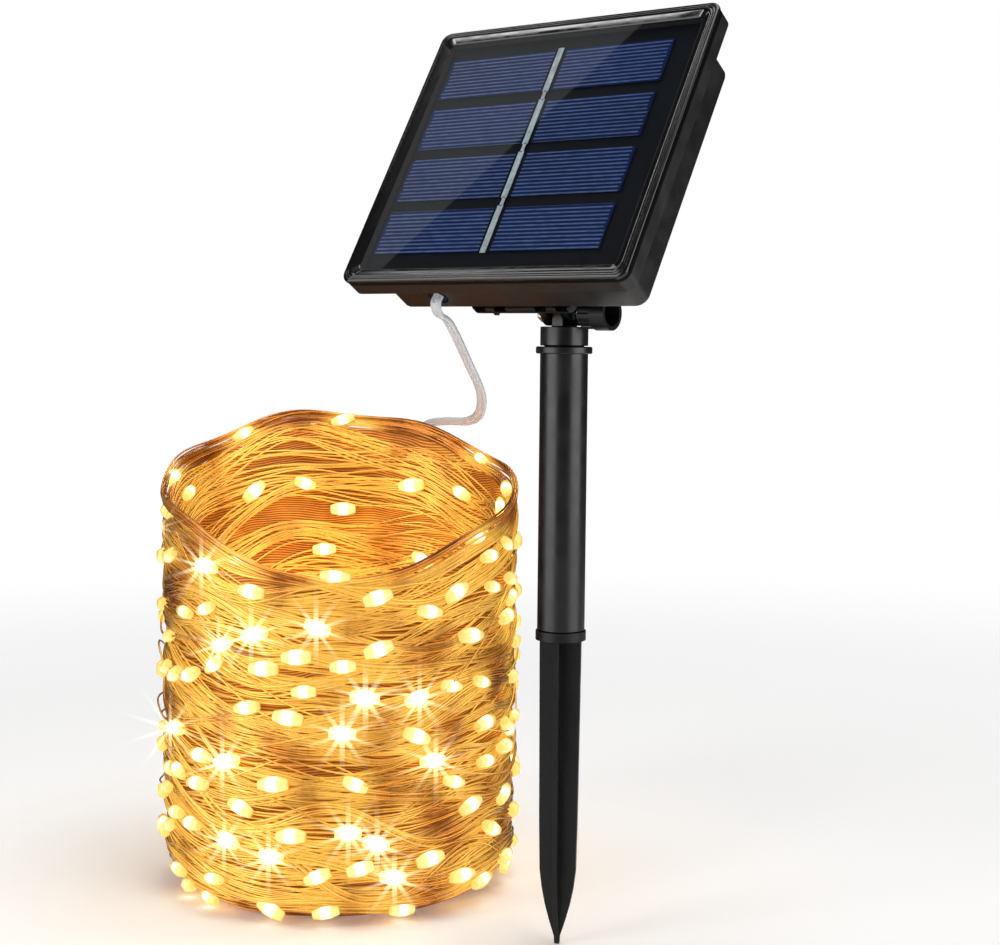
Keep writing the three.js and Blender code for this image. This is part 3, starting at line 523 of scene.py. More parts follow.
# Inset from the outer edge and height over the lip's plane, going round the section.
BEZEL_PROFILE = [
    (0.15, -1.8), (0.0, -1.65), (0.0, -0.95), (0.08, -0.6), (0.28, -0.3), (0.6, -0.12), (0.95, -0.07),
    (1.2, -0.07), (1.28, -0.2), (1.4, -0.2), (1.48, -0.05), (1.95, -0.04), (2.03, -0.17), (2.15, -0.17),
    (2.23, -0.03), (2.65, 0.0), (2.7, 0.0), (RIDGE, -0.06), (RIDGE + 0.12, -0.11), (5.15, -0.78),
    (LIP_INSIDE, -1.08), (LIP_INSIDE, -1.15), (3.5, -1.15), (3.35, -1.3), (3.35, -4.4), (2.0, -4.4),
    (2.0, -1.8),
]


def rounded_outline(inset, steps=8):
    """Points round the panel's outline, drawn in by an inset."""
    corner = OUTER_CORNER + (INNER_CORNER - OUTER_CORNER) * min(inset / LIP_INSIDE, 1.0)
    half_w, half_h = HALF_W - inset - corner, HALF_H - inset - corner
    points = []
    for quarter, (x, y) in enumerate(((1, 1), (-1, 1), (-1, -1), (1, -1))):
        for step in range(steps + 1):
            turn = (quarter + step / steps) * pi / 2
            points.append((x * half_w + corner * cos(turn), y * half_h + corner * sin(turn)))
    return points


def front_frame(material):
    """The glossy front frame: two fine grooves, a ridge, and a slope down to the glass."""
    vertices = [on_panel(x, y, out) for inset, out in BEZEL_PROFILE for x, y in rounded_outline(inset)]
    faces = grid_faces(len(BEZEL_PROFILE), len(rounded_outline(0)), joined=True)
    made = mesh_piece("front_frame", vertices, faces, material, 60)
    made.modifiers.new("flats", "WEIGHTED_NORMAL")
    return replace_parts(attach(made, "panel"), "front_bezel")


CELL_ROWS = [f"solar_cell_{i}" for i in range(1, 5)]
CELL_MIDDLE, CELL_HALF = across_panel(CELL_ROWS[0])
RIBBON_PLACE, RIBBON_HALF = across_panel("bus_ribbon")
RIBBON_OUT = -2.6
RIBBON_THICK = 0.2
FINGER_PITCH = 1.62  # millimetres between the cell's finger lines
FINGER_SHIFT = 0.3
STRIP_FACES = ((0, 1, 2, 3), (7, 6, 5, 4), (0, 4, 5, 1), (1, 5, 6, 2), (2, 6, 7, 3), (3, 7, 4, 0))


def panel_strips(name, strips, material):
    """Thin flat strips on the panel, as (across, half width, low, high, out, thickness) in millimetres."""
    vertices, faces = [], []
    for across, half_width, low, high, out, thickness in strips:
        faces += [tuple(len(vertices) + k for k in face) for face in STRIP_FACES]
        ends = ((-1, low), (1, low), (1, high), (-1, high))
        vertices += [on_panel(across + x * half_width, y, out - z) for z in (0, thickness) for x, y in ends]
    return mesh_piece(name, vertices, faces, material)


def collector_ribbon(material, dark):
    """The ribbon down the rows: a wide length over each row, narrow links, and a dab of flux at each end."""
    draws = np.random.default_rng(3)
    middle = FACE_CENTRE.dot(SLOPE_UP)
    rows = (along_axis(node, SLOPE_UP) for node in CELL_ROWS)
    spans = sorted(((low - middle) / MM - 0.7, (high - middle) / MM + 0.7) for low, high in rows)
    ribbon, dabs = [], []
    for i, (low, high) in enumerate(spans):
        shift = RIBBON_PLACE + draws.uniform(-0.12, 0.12)
        ribbon.append((shift, RIBBON_HALF, low, high, RIBBON_OUT, RIBBON_THICK))
        if i:
            below = spans[i - 1][1]
            link = RIBBON_PLACE + draws.uniform(-0.25, 0.25)
            ribbon.append((link, 0.72, below, low, RIBBON_OUT - 0.03, 0.7 * RIBBON_THICK))
            for edge in (below - 0.15, low + 0.15):
                spot = RIBBON_PLACE + draws.uniform(-0.3, 0.3)
                dabs.append((spot, 0.5, edge - 0.16, edge + 0.16, RIBBON_OUT + 0.02, 0.03))
    made = bevelled(panel_strips("collector_ribbon", ribbon, material), 0.05 * MM, 2)
    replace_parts(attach(made, "panel"), "bus_ribbon")
    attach(panel_strips("flux_marks", dabs, dark), "panel")


# ---- Coil of lights ----

BASE_ROUND = 20 * MM
WALL = 9 * MM
THIN_WALL = 3.5 * MM  # at the rim
TAPER = 0.3  # share of the inner wall's height over which it thins towards the rim
SKIN = 1.4 * MM  # how far the outermost wires lie over the CAD barrel
WIRE_R = 0.4 * MM
WIRE_SIDES = 5
STEPS = 108
TURNS = np.arange(STEPS) / STEPS * TAU


def coil_slant():
    """The rim's middle height, its slope and the heading of its highest point, from the CAD barrel."""
    top = [v.co - COIL_CENTRE for v in frame["nodes"]["copper_winding"].data.vertices if v.co.z > 0.1]
    places = np.array([(v.x, v.y, 1.0) for v in top])
    heights = np.array([v.z for v in top])
    east, north, middle = np.linalg.lstsq(places, heights, rcond=None)[0]
    return middle, hypot(east, north), atan2(north, east)


RIM_MIDDLE, RIM_SLOPE, RIM_HEADING = coil_slant()


def rim_height(turn, radius):
    """The slanted, slightly wavy rim's height."""
    wavy = 1.5 * np.sin(3 * turn + 0.6) + 1.1 * np.sin(7 * turn + 2.0)
    return RIM_MIDDLE + RIM_SLOPE * radius * np.cos(turn - RIM_HEADING) + wavy * MM


def outer_wall(turn, share, depth):
    """Radius and height on the outside. share runs from 0 at the base's inner edge to 1 at the rim, and
    depth is how far the place lies under the outer skin."""
    radius = COIL_R + SKIN - depth
    round_r = BASE_ROUND - depth
    top = rim_height(turn, COIL_R) - 0.5 * MM
    arc = BASE_ROUND * pi / 2
    walk = share * (arc + (top - BASE_ROUND))
    on_arc = np.clip(walk / arc, 0, 1) * pi / 2
    r = np.where(walk < arc, radius - round_r + round_r * np.sin(on_arc), radius)
    z = np.where(walk < arc, BASE_ROUND - round_r * np.cos(on_arc), BASE_ROUND + walk - arc)
    return r, z


def wall_depth(share):
    """The winding's thickness, which thins towards the rim."""
    return WALL - (WALL - THIN_WALL) * np.clip((share - 1 + TAPER) / TAPER, 0, 1) ** 1.5


def inner_wall(turn, share, depth):
    """Radius and height on the inside wall, seen through the open top."""
    low = 9 * MM
    top = rim_height(turn, COIL_R - THIN_WALL)
    return COIL_R - wall_depth(share) + depth, low + (top - low) * share**0.75


def rim_roll(turn, share, depth):
    """Radius and height over the rim, from its outer edge to its inner edge."""
    middle = COIL_R + (SKIN - THIN_WALL) / 2
    r = middle + ((THIN_WALL + SKIN) / 2 - depth * 0.5) * np.cos(pi * share)
    z = rim_height(turn, middle) - 3.0 * MM + (4.0 * MM - depth) * np.sin(pi * share)
    return r, z


def wave(size, fastest, draws):
    """A closed wavy offset round the barrel, out of a few sines."""
    total = np.zeros(STEPS)
    for k in range(1, fastest + 1):
        total += draws.normal() / k**0.8 * np.sin(k * TURNS + draws.uniform(0, TAU))
    return total * size


def ring_path(r, z):
    return np.stack([COIL_CENTRE.x + r * np.cos(TURNS), COIL_CENTRE.y + r * np.sin(TURNS), z], 1)


def bundles(wall, count, wires, drift, spread, depths, draws):
    """Closed wires in bundles that drift, pinch and spread, each with its own tone. Depths in millimetres."""
    paths, tones, depths = [], [], np.array(depths) * MM
    for number in range(count):
        middle = (number + 0.5 + draws.uniform(-0.5, 0.5)) / count + wave(drift, 6, draws)
        width = spread * np.clip(0.8 + wave(0.4, 4, draws), 0.15, 2.0)
        depth = draws.uniform(*depths) + wave(0.45 * MM, 4, draws)
        tone = draws.uniform(0.25, 0.8)
        for wire in range(wires):
            lane = (wire + draws.uniform(-0.6, 0.6)) / wires - 0.5
            share = np.clip(middle + lane * width + wave(spread * 0.13, 7, draws), 0.004, 0.996)
            under = np.clip(depth + draws.uniform(-0.6, 0.6) * MM, depths[0], depths[1] + 1.0 * MM)
            paths.append(ring_path(*wall(TURNS, share, under)))
            tones.append(np.clip(tone + draws.normal() * 0.28, 0, 1))
    return paths, tones


def stray_wires(count, draws):
    """Single turns that stand a little off the rest."""
    paths = []
    for _ in range(count):
        share = np.clip(draws.uniform(0.05, 0.98) + wave(0.05, 6, draws), 0.01, 0.995)
        off = np.clip(wave(1.1 * MM, 7, draws), -2.0 * MM, 2.4 * MM)
        paths.append(ring_path(*outer_wall(TURNS, share, -off)))
    return paths, list(draws.uniform(0.4, 1.0, count))


def rim_sweeps(count, draws):
    """Two bundles along the rim that cross at the front, each dipping below the rim once past the crossing."""
    front = atan2(-AHEAD.y, -AHEAD.x)
    keys = np.radians((-170, -100, -42, 0, 45, 90, 150))
    rises = (0.5, 3.0, 6.0, -1.5, -15.0, -9.0, 0.5)
    paths, tones = [], []
    for way in (1, -1):
        place = np.angle(np.exp(1j * way * (TURNS - front)))
        rise = np.interp(place, keys, rises, period=TAU)
        rise = np.convolve(np.tile(rise, 3), np.ones(9) / 9, "same")[STEPS:2 * STEPS]
        for _ in range(count):
            r = COIL_R + SKIN - draws.uniform(-0.5, 1.6) * MM + wave(0.2 * MM, 5, draws)
            lane = draws.uniform(-1.0, 1.0)
            z = rim_height(TURNS, COIL_R) + (rise + 2.4 * lane) * MM + wave(0.5 * MM, 7, draws)
            paths.append(ring_path(r, z))
            tones.append(0.8 - 0.6 * lane**2 + draws.normal() * 0.25)
    return paths, tones


def glow_near(points, lights, lift=0.0, reach=6.5 * MM):
    """How strongly the drops light each point, from 0 to about 1, for the wires' painted glow."""
    parts = np.array_split(points, len(points) // 4000 + 1)
    gaps = (((part[:, None] - lights) ** 2).sum(2) for part in parts)
    glow = np.concatenate([np.exp(-gap / (2 * reach**2)).sum(1) for gap in gaps])
    return np.minimum(glow + lift, 1.3)


def wire_piece(name, wires, material, lights, lift=0.0):
    """Round wires along closed paths, as one mesh that keeps each wire's tone and glow on its points."""
    paths, tones = np.array(wires[0]), wires[1]
    count = len(paths)
    around = np.arange(WIRE_SIDES) / WIRE_SIDES * TAU
    tangent = unit(np.roll(paths, -1, 1) - np.roll(paths, 1, 1))
    side = unit(np.cross(tangent, (0.0, 0.0, 1.0)))
    over = np.cross(side, tangent)
    ring = np.cos(around)[:, None] * side[:, :, None] + np.sin(around)[:, None] * over[:, :, None]
    vertices = (paths[:, :, None] + WIRE_R * ring).reshape(-1, 3)
    first = np.arange(count)[:, None, None] * STEPS * WIRE_SIDES
    faces = (first + grid_faces(STEPS, WIRE_SIDES, joined=True)).reshape(-1, 4)
    wire, step, place = np.indices((count, STEPS, WIRE_SIDES))
    u = np.stack([step, step, step + 1, step + 1], -1) / STEPS
    v = (wire[..., None] + (place[..., None] + np.array([0.1, 0.9, 0.9, 0.1])) / WIRE_SIDES) / count
    made = quad_piece(name, vertices, faces, u, v, material)
    glow = glow_near(paths.reshape(-1, 3), lights, lift).repeat(WIRE_SIDES)
    for key, values in (("tone", np.repeat(tones, STEPS * WIRE_SIDES)), ("glow", glow)):
        made.data.attributes.new(key, "FLOAT", "POINT").data.foreach_set("value", values.astype(np.float32))
    return made


def winding_core(material):
    """The deeper turns, as one wavy shell between the outer and inner wires."""
    segments, rows = 144, 90
    turn, share = np.meshgrid(np.arange(segments) / segments * TAU, np.linspace(0, 1, rows))
    ripple = np.sin(share * 260 + 3 * np.sin(3 * turn) + 2 * np.sin(7 * turn)) * 0.3 * MM
    r, z = outer_wall(turn, 0.02 + 0.965 * share, 3.6 * MM - 1.2 * MM * share**4)
    inner_r = np.minimum(r - 0.2 * MM, COIL_R - wall_depth(share) + 2.2 * MM - 1.4 * MM * share**4)
    inner_z = z + 2.2 * MM * (r < inner_r + 1 * MM) * (share < 0.5)
    halves = ((r + ripple, z), ((inner_r + ripple)[::-1], inner_z[::-1]))
    sheets = [np.stack([radius * np.cos(turn), radius * np.sin(turn), height], -1) for radius, height in halves]
    sheet = np.concatenate(sheets).reshape(-1, 3) + np.array(COIL_CENTRE)
    total = 2 * rows
    i, j = np.indices((total, segments))
    u = np.stack([j, j + 1, j + 1, j], -1) / segments
    v = np.stack([i, i, i + 1, i + 1], -1) / total
    return quad_piece("winding_core", sheet, grid_faces(total, segments, joined=True), u, v, material)


UNROLLED = 150 * MM  # the outside's length from the base's inner edge to the rim
BEAD_LENGTH = 11.0 * MM
BEAD_R = 3.0 * MM
BEAD_SIDES = 12
# Place along the drop from -1 to 1, its share of the radius there, and its place on the map.
BEAD_PROFILE = [
    (-1.0, 0.0, 0.0), (-1.0, 0.58, 0.03), (-0.94, 0.7, 0.06), (-0.5, 0.93, 0.22), (-0.34, 1.0, 0.32),
    (0.34, 1.0, 0.68), (0.5, 0.93, 0.78), (0.94, 0.7, 0.94), (1.0, 0.58, 0.97), (1.0, 0.0, 1.0),
]


def spread_places(count, wide, high, draws):
    """Well-spaced places on a sheet that joins at its sides: each is the best of several draws."""
    kept = [np.array([draws.uniform(0, wide), draws.uniform(0, high)])]
    while len(kept) < count:
        tries = np.stack([draws.uniform(0, wide, 5), draws.uniform(0, high, 5)], 1)
        gap = np.abs(tries[:, None] - np.array(kept)[None])
        gap[..., 0] = np.minimum(gap[..., 0], wide - gap[..., 0])
        kept.append(tries[np.linalg.norm(gap, axis=2).min(1).argmax()])
    return np.array(kept)


def bead_frame(turn, spot, slope, outward):
    """A drop's middle, its way along the wire, its way out, and the way across both."""
    r, z = spot
    along = unit(np.array([-sin(turn), cos(turn), slope]))
    outward = unit(outward - along * (outward @ along))
    centre = np.array([r * cos(turn), r * sin(turn), z]) + np.array(COIL_CENTRE)
    return centre, along, outward, np.cross(along, outward)


def outer_beads(count, draws):
    """Places for the drops on the outside skin and round the base."""
    places = []
    for x, y in spread_places(count, TAU * COIL_R, UNROLLED, draws):
        turn, share = x / COIL_R, 0.07 + 0.9 * y / UNROLLED
        outward = np.array([cos(turn), sin(turn), 0.0 if share > 0.2 else -0.6])
        places.append(bead_frame(turn, outer_wall(turn, share, -0.5 * MM), draws.normal() * 0.28, outward))
    return places


def inner_beads(count, draws):
    """Places for the drops on the inside wall."""
    places = []
    for x, y in spread_places(count, TAU * COIL_R, COIL_R, draws):
        turn, share = x / COIL_R, 0.2 + 0.76 * y / COIL_R
        slope = draws.normal() * 0.2 - RIM_SLOPE * sin(turn - RIM_HEADING) * share
        outward = -np.array([cos(turn), sin(turn), 0.0])
        places.append(bead_frame(turn, inner_wall(turn, share, -0.8 * MM), slope, outward))
    return places


def rim_beads(count, draws):
    """Places for the drops that lie along the rim."""
    places = []
    for number in range(count):
        turn = (number + draws.uniform(-0.3, 0.3)) / count * TAU
        spot = rim_roll(turn, draws.uniform(0.2, 0.8), -0.4 * MM)
        slope = draws.normal() * 0.15 - RIM_SLOPE * sin(turn - RIM_HEADING)
        places.append(bead_frame(turn, spot, slope, np.array([0, 0, 1.0])))
    return places


def bead_mesh(name, places, material, scale=1.0):
    """Resin drops on the wire: six-sided barrels with narrower flat ends."""
    turns = np.arange(BEAD_SIDES) / BEAD_SIDES * TAU
    flat = 1 - 0.1 * np.cos(3 * turns) ** 2
    rows, vertices = len(BEAD_PROFILE), []
    sizes = np.random.default_rng(len(places)).uniform(0.86, 1.12, len(places)) * scale
    for size, (centre, along, outward, across) in zip(sizes, places):
        for x, r, _ in BEAD_PROFILE:
            ring = r * BEAD_R * size * flat
            vertices.append(
                centre + along * x * BEAD_LENGTH / 2 * size
                + np.outer(ring * np.cos(turns), outward * 0.85) + np.outer(ring * np.sin(turns), across)
            )
    first = np.arange(len(places))[:, None, None] * rows * BEAD_SIDES
    faces = (first + grid_faces(rows, BEAD_SIDES)[:, [0, 3, 2, 1]]).reshape(-1, 4)
    i, j = np.indices((rows - 1, BEAD_SIDES))
    on_map = np.array([place for _, _, place in BEAD_PROFILE])
    u = np.stack([on_map[i], on_map[i + 1], on_map[i + 1], on_map[i]], -1).ravel()
    v = np.stack([j, j, j + 1, j + 1], -1).ravel() / BEAD_SIDES
    u, v = np.tile((u, v), len(places))
    made = quad_piece(name, np.concatenate(vertices), faces, u, v, material)
    welded(made)
    return made


SPARK_STRENGTH = 60.0
BRIGHT_EVERY = 4
OUTER_DROPS, RIM_DROPS, INNER_DROPS = 195, 9, 52
BURIED_OUTER, BURIED_INNER = 70, 60  # unseen light places under the turns, which only add painted glow to the wires
SWEEP_WIRES, STRAY_WIRES = 10, 16
# Name, wall, bundles, wires in each, drift, spread, least and most depth in millimetres, and extra painted
# glow.
BUNDLES = (
    ("lower", outer_wall, 16, 10, 0.018, 0.078, (1.2, 2.8), 0.0),
    ("upper", outer_wall, 17, 9, 0.034, 0.06, (0.7, 2.2), 0.0),
    ("crossing", outer_wall, 17, 6, 0.055, 0.036, (0.0, 1.0), 0.0),
    ("inner", inner_wall, 18, 10, 0.03, 0.085, (0.0, 1.6), 0.4),
    ("rim", rim_roll, 4, 8, 0.12, 0.3, (0.0, 1.4), 0.0),
)


def spark_places(places):
    """Places just inside the drops' outer faces."""
    return [(centre + outward * BEAD_R * 0.86, along, outward, across)
            for centre, along, outward, across in places]


def may_star(spot):
    """Whether a drop's rays would stay clear of the pole that stands beside the coil."""
    place = Vector(spot) - COIL_CENTRE
    across, ahead = place.dot(RIGHT), place.dot(AHEAD)
    return across < 0.6 * COIL_R or ahead > 0.5 * COIL_R and spot[2] < RIM_MIDDLE - 20 * MM


def coil_of_lights():
    """The wound string: wires, a glowing core, and the lit drops among them."""
    draws = np.random.default_rng(11)
    outside = outer_beads(OUTER_DROPS, draws) + rim_beads(RIM_DROPS, draws)
    inside = inner_beads(INNER_DROPS, draws)
    draws = np.random.default_rng(5)
    buried = outer_beads(BURIED_OUTER, draws) + inner_beads(BURIED_INNER, draws)
    lights = np.array([place[0] for place in outside + inside + buried])
    wire = copper_wire()
    draws = np.random.default_rng(7)
    pieces = [
        wire_piece(f"copper_{name}_turns", bundles(wall, *shape, draws), wire, lights, lift)
        for name, wall, *shape, lift in BUNDLES
    ]
    pieces.append(wire_piece("copper_rim_sweeps", rim_sweeps(SWEEP_WIRES, draws), wire, lights))
    pieces.append(wire_piece("copper_stray_turns", stray_wires(STRAY_WIRES, draws), wire, lights))
    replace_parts(pieces[0], "copper_winding")
    core = winding_core(glowing_core())
    bright = [place for place in outside[::BRIGHT_EVERY] if may_star(place[0])]
    steady = [place for place in outside if not any(place is other for other in bright)]
    drops = bead_mesh("led_drops_outside", steady, led_drop("led_lit", 1.5))
    bead_mesh("led_drops_inside", inside, led_drop("led_lit_inside", 1.8))
    bead_mesh("led_drops_brightest", bright, led_drop("led_hot", 2.6))
    bead_mesh("led_sparks", spark_places(bright), spark(), 0.2)
    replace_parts(drops, "led_string")
    return pieces + [core]


# ---- Lead ----

# Knees of the lead from the grommet to the coil, in millimetres.
LEAD_KNEES = [
    (-31.3, -32.0, 243.7), (-31.3, -34.65, 239.5), (-31.3, -36.0, 237.3), (-33.6, -31.5, 233.6),
    (-38.2, -19, 230.2), (-52.1, 11, 215.4), (-66, 38, 202.7), (-81.1, 57, 193.4), (-95.7, 68, 189.4),
    (-116, 79, 188.3), (-134, 88.5, 185.5), (-147, 89.5, 175),
]
LEAD_STEPS = 160
LOBE_R = 1.08 * MM
LOBE_OUT = 1.1 * MM
LOBE_TURN = radians(148)  # each lobe's arc to either side of its outermost point
CORE_R = 0.42 * MM
CORE_SIDES = 8


def twin_section():
    """The outline of two round cores side by side, joined by a web."""
    points = []
    for side in (1, -1):
        for turn in np.linspace(-LOBE_TURN, LOBE_TURN, 11):
            points.append((side * (LOBE_OUT + LOBE_R * cos(turn)), side * LOBE_R * sin(turn)))
    return points


def twin_lead(skin, wire):
    """The flat twin lead in two fixed lengths, with its wires inside."""
    path = smooth_curve(np.array(LEAD_KNEES) * MM, LEAD_STEPS)
    half = LEAD_STEPS // 2
    # Name, path, the bodies it joins, where it starts and ends to bend, and the CAD nodes it replaces.
    lengths = (
        ("upper", path[:half + 1], ("panel", "swivel"), (0.14, 0.44), ("lead_upper",)),
        ("lower", path[half:], ("swivel", "stake"), (0.52, 0.8), ("lead_middle", "lead_lower")),
    )
    across = np.array((1.0, 0.0, 0.0))
    for name, part, bodies, bend, replaced in lengths:
        parts = [mesh_piece(f"lead_{name}_skin", *swept(part, twin_section(), across), skin)]
        for hand, way in (("right", 1), ("left", -1)):
            section = circle(CORE_R, CORE_SIDES, (way * LOBE_OUT, 0.0))
            parts.append(mesh_piece(f"lead_{name}_core_{hand}", *swept(part, section, across), wire))
        for piece in parts:
            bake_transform(piece)
        across = carried(part, across)[1][-1]
        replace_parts(parts[0], *replaced)


# ---- Camera, light and floor ----


def camera():
    """The photo's camera."""
    data = bpy.data.cameras.new("camera")
    data.sensor_width = 36
    data.lens = FOCAL_PIXELS / PICTURE_WIDTH * data.sensor_width
    data.clip_start = 0.01
    made = placed("camera", data)
    ahead = AHEAD * cos(CAMERA_PITCH) - UP * sin(CAMERA_PITCH)
    up = AHEAD * sin(CAMERA_PITCH) + UP * cos(CAMERA_PITCH)
    right = RIGHT * cos(CAMERA_ROLL) + up * sin(CAMERA_ROLL)
    top = up * cos(CAMERA_ROLL) - RIGHT * sin(CAMERA_ROLL)
    turn = Matrix((right, top, -ahead)).transposed().to_4x4()
    made.matrix_world = Matrix.Translation(CAMERA_PLACE) @ turn
    bpy.context.scene.camera = made


def area_light(name, place, target, size, power):
    data = bpy.data.lights.new(name, "AREA")
    data.shape = "RECTANGLE"
    data.size, data.size_y = size
    data.energy = power
    made = placed(name, data)
    way = Vector(target) - Vector(place)
    made.matrix_world = Matrix.Translation(Vector(place)) @ way.to_track_quat("-Z", "Y").to_matrix().to_4x4()


def card_seen_in(name, spots, facing, strength, away=3.0):
    """A glowing card placed so that a flat face shows it over the given spots, seen from the camera."""
    beyond = [CAMERA_PLACE + (spot - CAMERA_PLACE) * away for spot in spots]
    glowing_card(name, [place - facing * 2 * (place - spots[0]).dot(facing) for place in beyond], strength)


def glowing_card(name, corners, strength):
    """A flat light that shows only in mirrors."""
    look = Shader(name)
    look.set(Base_Color=(0, 0, 0, 1), Emission_Color=(1, 1, 1, 1), Emission_Strength=strength)
    made = mesh_piece(name, corners, [tuple(range(len(corners)))], look.material)
    for rays in ("camera", "diffuse", "shadow", "transmission"):
        setattr(made, f"visible_{rays}", False)


# The tall lights' heading from the way to the camera, their distance, half width and height.
SIDE_TURN = radians(62)
SIDE_AWAY, SIDE_HALF_W, SIDE_HEIGHT = 0.7, 0.33, 0.62


def reflections():
    """Strip lights seen in the lip's slopes and ridge, and a tall soft light on either side of the camera."""
    high, low = HALF_H - RIDGE, HALF_H - LIP_INSIDE
    end = HALF_W - LIP_INSIDE
    # Name, lean and slope of the face, its left, right, lower and upper ends in millimetres, and strength.
    strips = (
        ("top_strip", -SLOPE_UP, 0.35, (-end, end, low - 25, high + 25), 14),
        ("bottom_strip", SLOPE_UP, 0.35, (-end, end, -high - 20, 20 - low), 2.2),
        ("bottom_line", SLOPE_UP, 0.67, (-end, end, -high - 16, 16 - low), 15),
        ("ridge_strip", -EAST, 0.15, (end - 8, end + 12, -high, high), 10),
    )
    for name, lean, slope, (left, right, below, above), strength in strips:
        corners = ((left, above), (right, above), (right, below), (left, below))
        facing = (PRESS_WAY + lean * slope).normalized()
        card_seen_in(name, [on_panel(x, y, -0.5) for x, y in corners], facing, strength)
    tall = ((-1, 0.0), (1, 0.0), (1, SIDE_HEIGHT), (-1, SIDE_HEIGHT))
    for name, side in (("left_light", -1), ("right_light", 1)):
        way = -AHEAD * cos(SIDE_TURN) + RIGHT * side * sin(SIDE_TURN)
        wide = way.cross(UP) * SIDE_HALF_W
        corners = [way * SIDE_AWAY + wide * x + Vector((0, 0, z)) for x, z in tall]
        glowing_card(name, corners, 3.2)


def studio():
    """White to the camera, and dim for everything that mirrors it."""
    world = bpy.data.worlds.new("studio")
    world.use_nodes = True
    look = Shader.__new__(Shader)
    look.tree = world.node_tree
    way = look.place("Generated")
    near = look.dot(way, tuple(-AHEAD))
    rise = look.dot(way, (0, 0, 1))
    level = look.step(near, -0.5, 0.3, 0.04, 0.12)
    level = look.plus(level, look.step(rise, 0.85, 0.98, 0.0, 0.8))
    seen = look.seen_by("Camera")
    background = look.tree.nodes["Background"]
    background.inputs["Color"].default_value = (1, 1, 1, 1)
    look.plug(look.step(seen, 0, 1, level, 1.0), background.inputs["Strength"])
    bpy.context.scene.world = world
    area_light("overhead", (0.5, 0.1, 2.2), (0, 0, 0), (1.7, 1.7), 34)
    area_light("key", (-0.5, -1.3, 0.9), (-0.05, 0.0, 0.15), (0.5, 0.9), 5)
    bpy.context.scene.view_settings.view_transform = "Standard"


def lamps_in_coil(pieces):
    """Warm light inside the coil, for its own walls alone."""
    walls = bpy.data.collections.new("coil_walls")
    for piece in pieces:
        walls.objects.link(piece)
    for number, height in enumerate((0.05, 0.11)):
        data = bpy.data.lights.new(f"coil_lamp_{number + 1}", "POINT")
        data.energy = 0.2
        data.color = (1.0, 0.66, 0.26)
        data.shadow_soft_size = 0.02
        made = placed(data.name, data)
        made.location = COIL_CENTRE + Vector((0, 0, height))
        made.visible_glossy = False
        made.light_linking.receiver_collection = walls


FLOOR_REACH = 12.0


def floor():
    """A pale floor that fades into the white surround."""
    look = Shader("pale_floor")
    away = look.add("VectorMath", "Value", {0: look.place()}, operation="LENGTH")
    look.set(Base_Color=(0.92, 0.92, 0.92, 1), Roughness=0.9, Specular_IOR_Level=0.0)
    look.set(Emission_Color=(1, 1, 1, 1), Emission_Strength=0.16)
    glow = look.add("Emission", 0, {"Strength": look.step(look.seen_by("Camera"), 0, 1, 0.09, 1.0)})
    look.show(look.surfaces(look.step(away, 0.3, 1.1), look.surface.outputs[0], glow))
    square = [(x * FLOOR_REACH, y * FLOOR_REACH, -0.4 * MM) for x, y in ((-1, -1), (1, -1), (1, 1), (-1, 1))]
    mesh_piece("floor", square, [(0, 1, 2, 3)], look.material)


def glow_of_lights():
    """Soft bloom and thin star rays round the brightest lights."""
    scene = bpy.context.scene
    scene.use_nodes = True
    tree = scene.node_tree
    layers = tree.nodes.get("Render Layers") or tree.nodes.new("CompositorNodeRLayers")
    out = tree.nodes.get("Composite") or tree.nodes.new("CompositorNodeComposite")
    rays = {"Threshold": 12.0, "Strength": 0.26, "Streaks": 10, "Streaks Angle": TAU / 20, "Fade": 0.91,
            "Iterations": 3, "Color Modulation": 0.0}
    bloom = {"Threshold": 1.6, "Strength": 0.12, "Size": 0.3, "Maximum": 6.0, "Clamp": True}
    picture = layers.outputs["Image"]
    for kind, values in (("STREAKS", rays), ("FOG_GLOW", bloom)):
        glare = tree.nodes.new("CompositorNodeGlare")
        glare.glare_type = kind
        glare.quality = "HIGH"
        for name, value in values.items():
            glare.inputs[name].default_value = value
        tree.links.new(picture, glare.inputs["Image"])
        picture = glare.outputs["Image"]
    tree.links.new(picture, out.inputs["Image"])


# ---- CAD nodes that stay: materials and edges ----

TRUE_EDGE = 32  # degrees between faces from which an edge stays sharp


def true_edges():
    """A node group that smooths a mesh but for its true edges."""
    group = bpy.data.node_groups.new("true_edges", "GeometryNodeTree")
    for way in ("INPUT", "OUTPUT"):
        group.interface.new_socket("Geometry", in_out=way, socket_type="NodeSocketGeometry")
    kinds = ("NodeGroupInput", "GeometryNodeSetShadeSmooth", "GeometryNodeSetShadeSmooth", "NodeGroupOutput")
    start, faces, edges, end = (group.nodes.new(kind) for kind in kinds)
    angle = group.nodes.new("GeometryNodeInputMeshEdgeAngle")
    steep = group.nodes.new("FunctionNodeCompare")
    steep.operation = "GREATER_THAN"
    steep.inputs["B"].default_value = radians(TRUE_EDGE)
    edges.domain = "EDGE"
    edges.inputs["Shade Smooth"].default_value = False
    for source, target in (
        (start.outputs[0], faces.inputs["Geometry"]), (faces.outputs[0], edges.inputs["Geometry"]),
        (edges.outputs[0], end.inputs[0]), (angle.outputs["Unsigned Angle"], steep.inputs["A"]),
        (steep.outputs[0], edges.inputs["Selection"]),
    ):
        group.links.new(source, target)
    return group


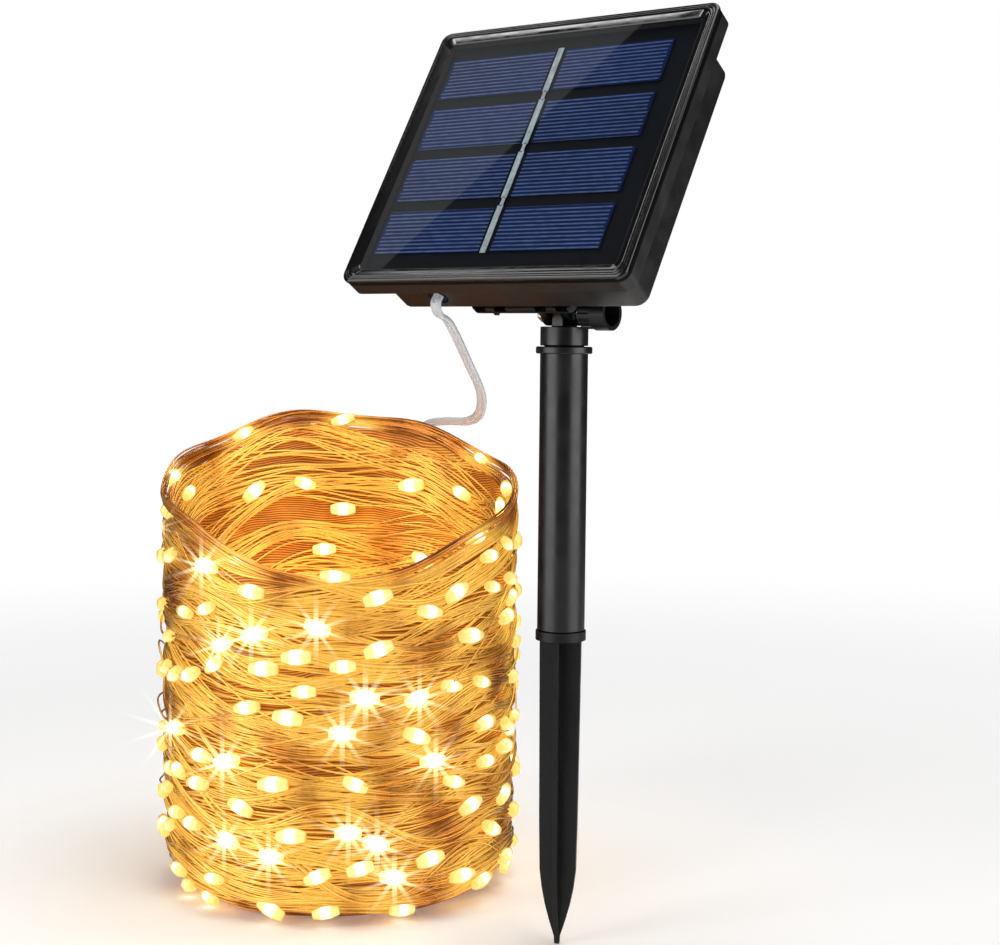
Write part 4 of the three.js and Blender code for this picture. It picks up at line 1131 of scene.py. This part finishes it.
def dress_cad(node, material, bevel, smoothing):
    """Gives a carried-over CAD node its finish, soft edges and smooth round faces."""
    piece = frame["nodes"][node]
    mesh = piece.data
    mesh.materials.clear()
    mesh.materials.append(material)
    if "custom_normal" in mesh.attributes:
        mesh.attributes.remove(mesh.attributes["custom_normal"])
    welded(piece)
    flat = piece.modifiers.new("flat", "DECIMATE")
    flat.decimate_type = "DISSOLVE"
    flat.angle_limit = radians(0.3)
    piece.modifiers.new("smooth", "NODES").node_group = smoothing
    if bevel:
        bevelled(piece, bevel, 2, TRUE_EDGE)


def dress_frame():
    """Finishes for the CAD nodes that stay, and the front frame, ribbon and lead in place of others."""
    housing = plastic("housing_plastic", (0.007, 0.0072, 0.0075), 0.4, 1400, 0.1, groove=(2.7, 0.75))
    pole = plastic("pole_plastic", (0.0035, 0.0038, 0.0044), 0.33, 700, 0.03)
    spike = plastic("spike_plastic", (0.0025, 0.0026, 0.0028), 0.4, 1100, 0.1, 0.3)
    rubber = plastic("black_rubber", (0.01, 0.01, 0.01), 0.7, 1600, 0.2)
    button = plastic("button_rubber", (0.05, 0.05, 0.052), 0.6, 1500, 0.2)
    chip = plastic("chip_epoxy", (0.01, 0.01, 0.011), 0.5, 2000, 0.1)
    zinc = metal("zinc_steel", (0.42, 0.43, 0.45), (0.7, 0.71, 0.72), 0.22)
    brass = metal("turned_brass", (0.62, 0.42, 0.15), (0.8, 0.6, 0.26), 0.2)
    mask, pvc = mask_black(), clear_pvc()
    screws = " ".join(f"{place}_screw_{i}" for place in ("housing", "bracket", "door") for i in (1, 2))
    # Finish, width of the softened edges in millimetres, and nodes.
    looks = (
        (spike, 0.25, "ground_spike mounting_bracket"), (spike, 0.2, "thumb_knob"), (pole, 0.2, "pole_tube"),
        (pole, 0.3, "swivel_neck"), (pole, 0.5, "tube_collar"), (housing, 0.35, "rear_housing"),
        (housing, 0.2, "battery_door"), (rubber, 0, "seal_gasket"), (rubber, 0.2, "cable_grommet"),
        (button, 0.2, "power_button mode_button"), (chip, 0.1, "controller_chip power_switch mode_switch"),
        (chip, 0.2, "inductor"), (clear_cover(), 0, "cover_glass"), (mask, 0, "cell_tray"),
        (circuit_green(), 0, "control_board"), (shrink_sleeve(), 0.3, "battery_cell"),
        (solar_cell(), 0, " ".join(CELL_ROWS)), (brass, 0.1, "knob_insert"), (zinc, 0.15, "hinge_bolt"),
        (zinc, 0.1, "hinge_washer housing_screw_3 housing_screw_4 " + screws),
        (zinc, 0, "battery_spring battery_contact"), (pvc, 0.3, "string_splice"),
    )
    smoothing = true_edges()
    for material, bevel, nodes in looks:
        for node in nodes.split():
            dress_cad(node, material, bevel * MM, smoothing)
    front_frame(plastic("bezel_gloss", (0.003, 0.0032, 0.0036), 0.1, 500, 0.0))
    collector_ribbon(tinned_ribbon(), mask)
    twin_lead(pvc, metal("lead_conductor", (0.5, 0.5, 0.5), (0.75, 0.75, 0.75), 0.3))


# ---- Build ----

dress_frame()
turns = coil_of_lights()
floor()
reflections()
studio()
lamps_in_coil(turns)
camera()
glow_of_lights()
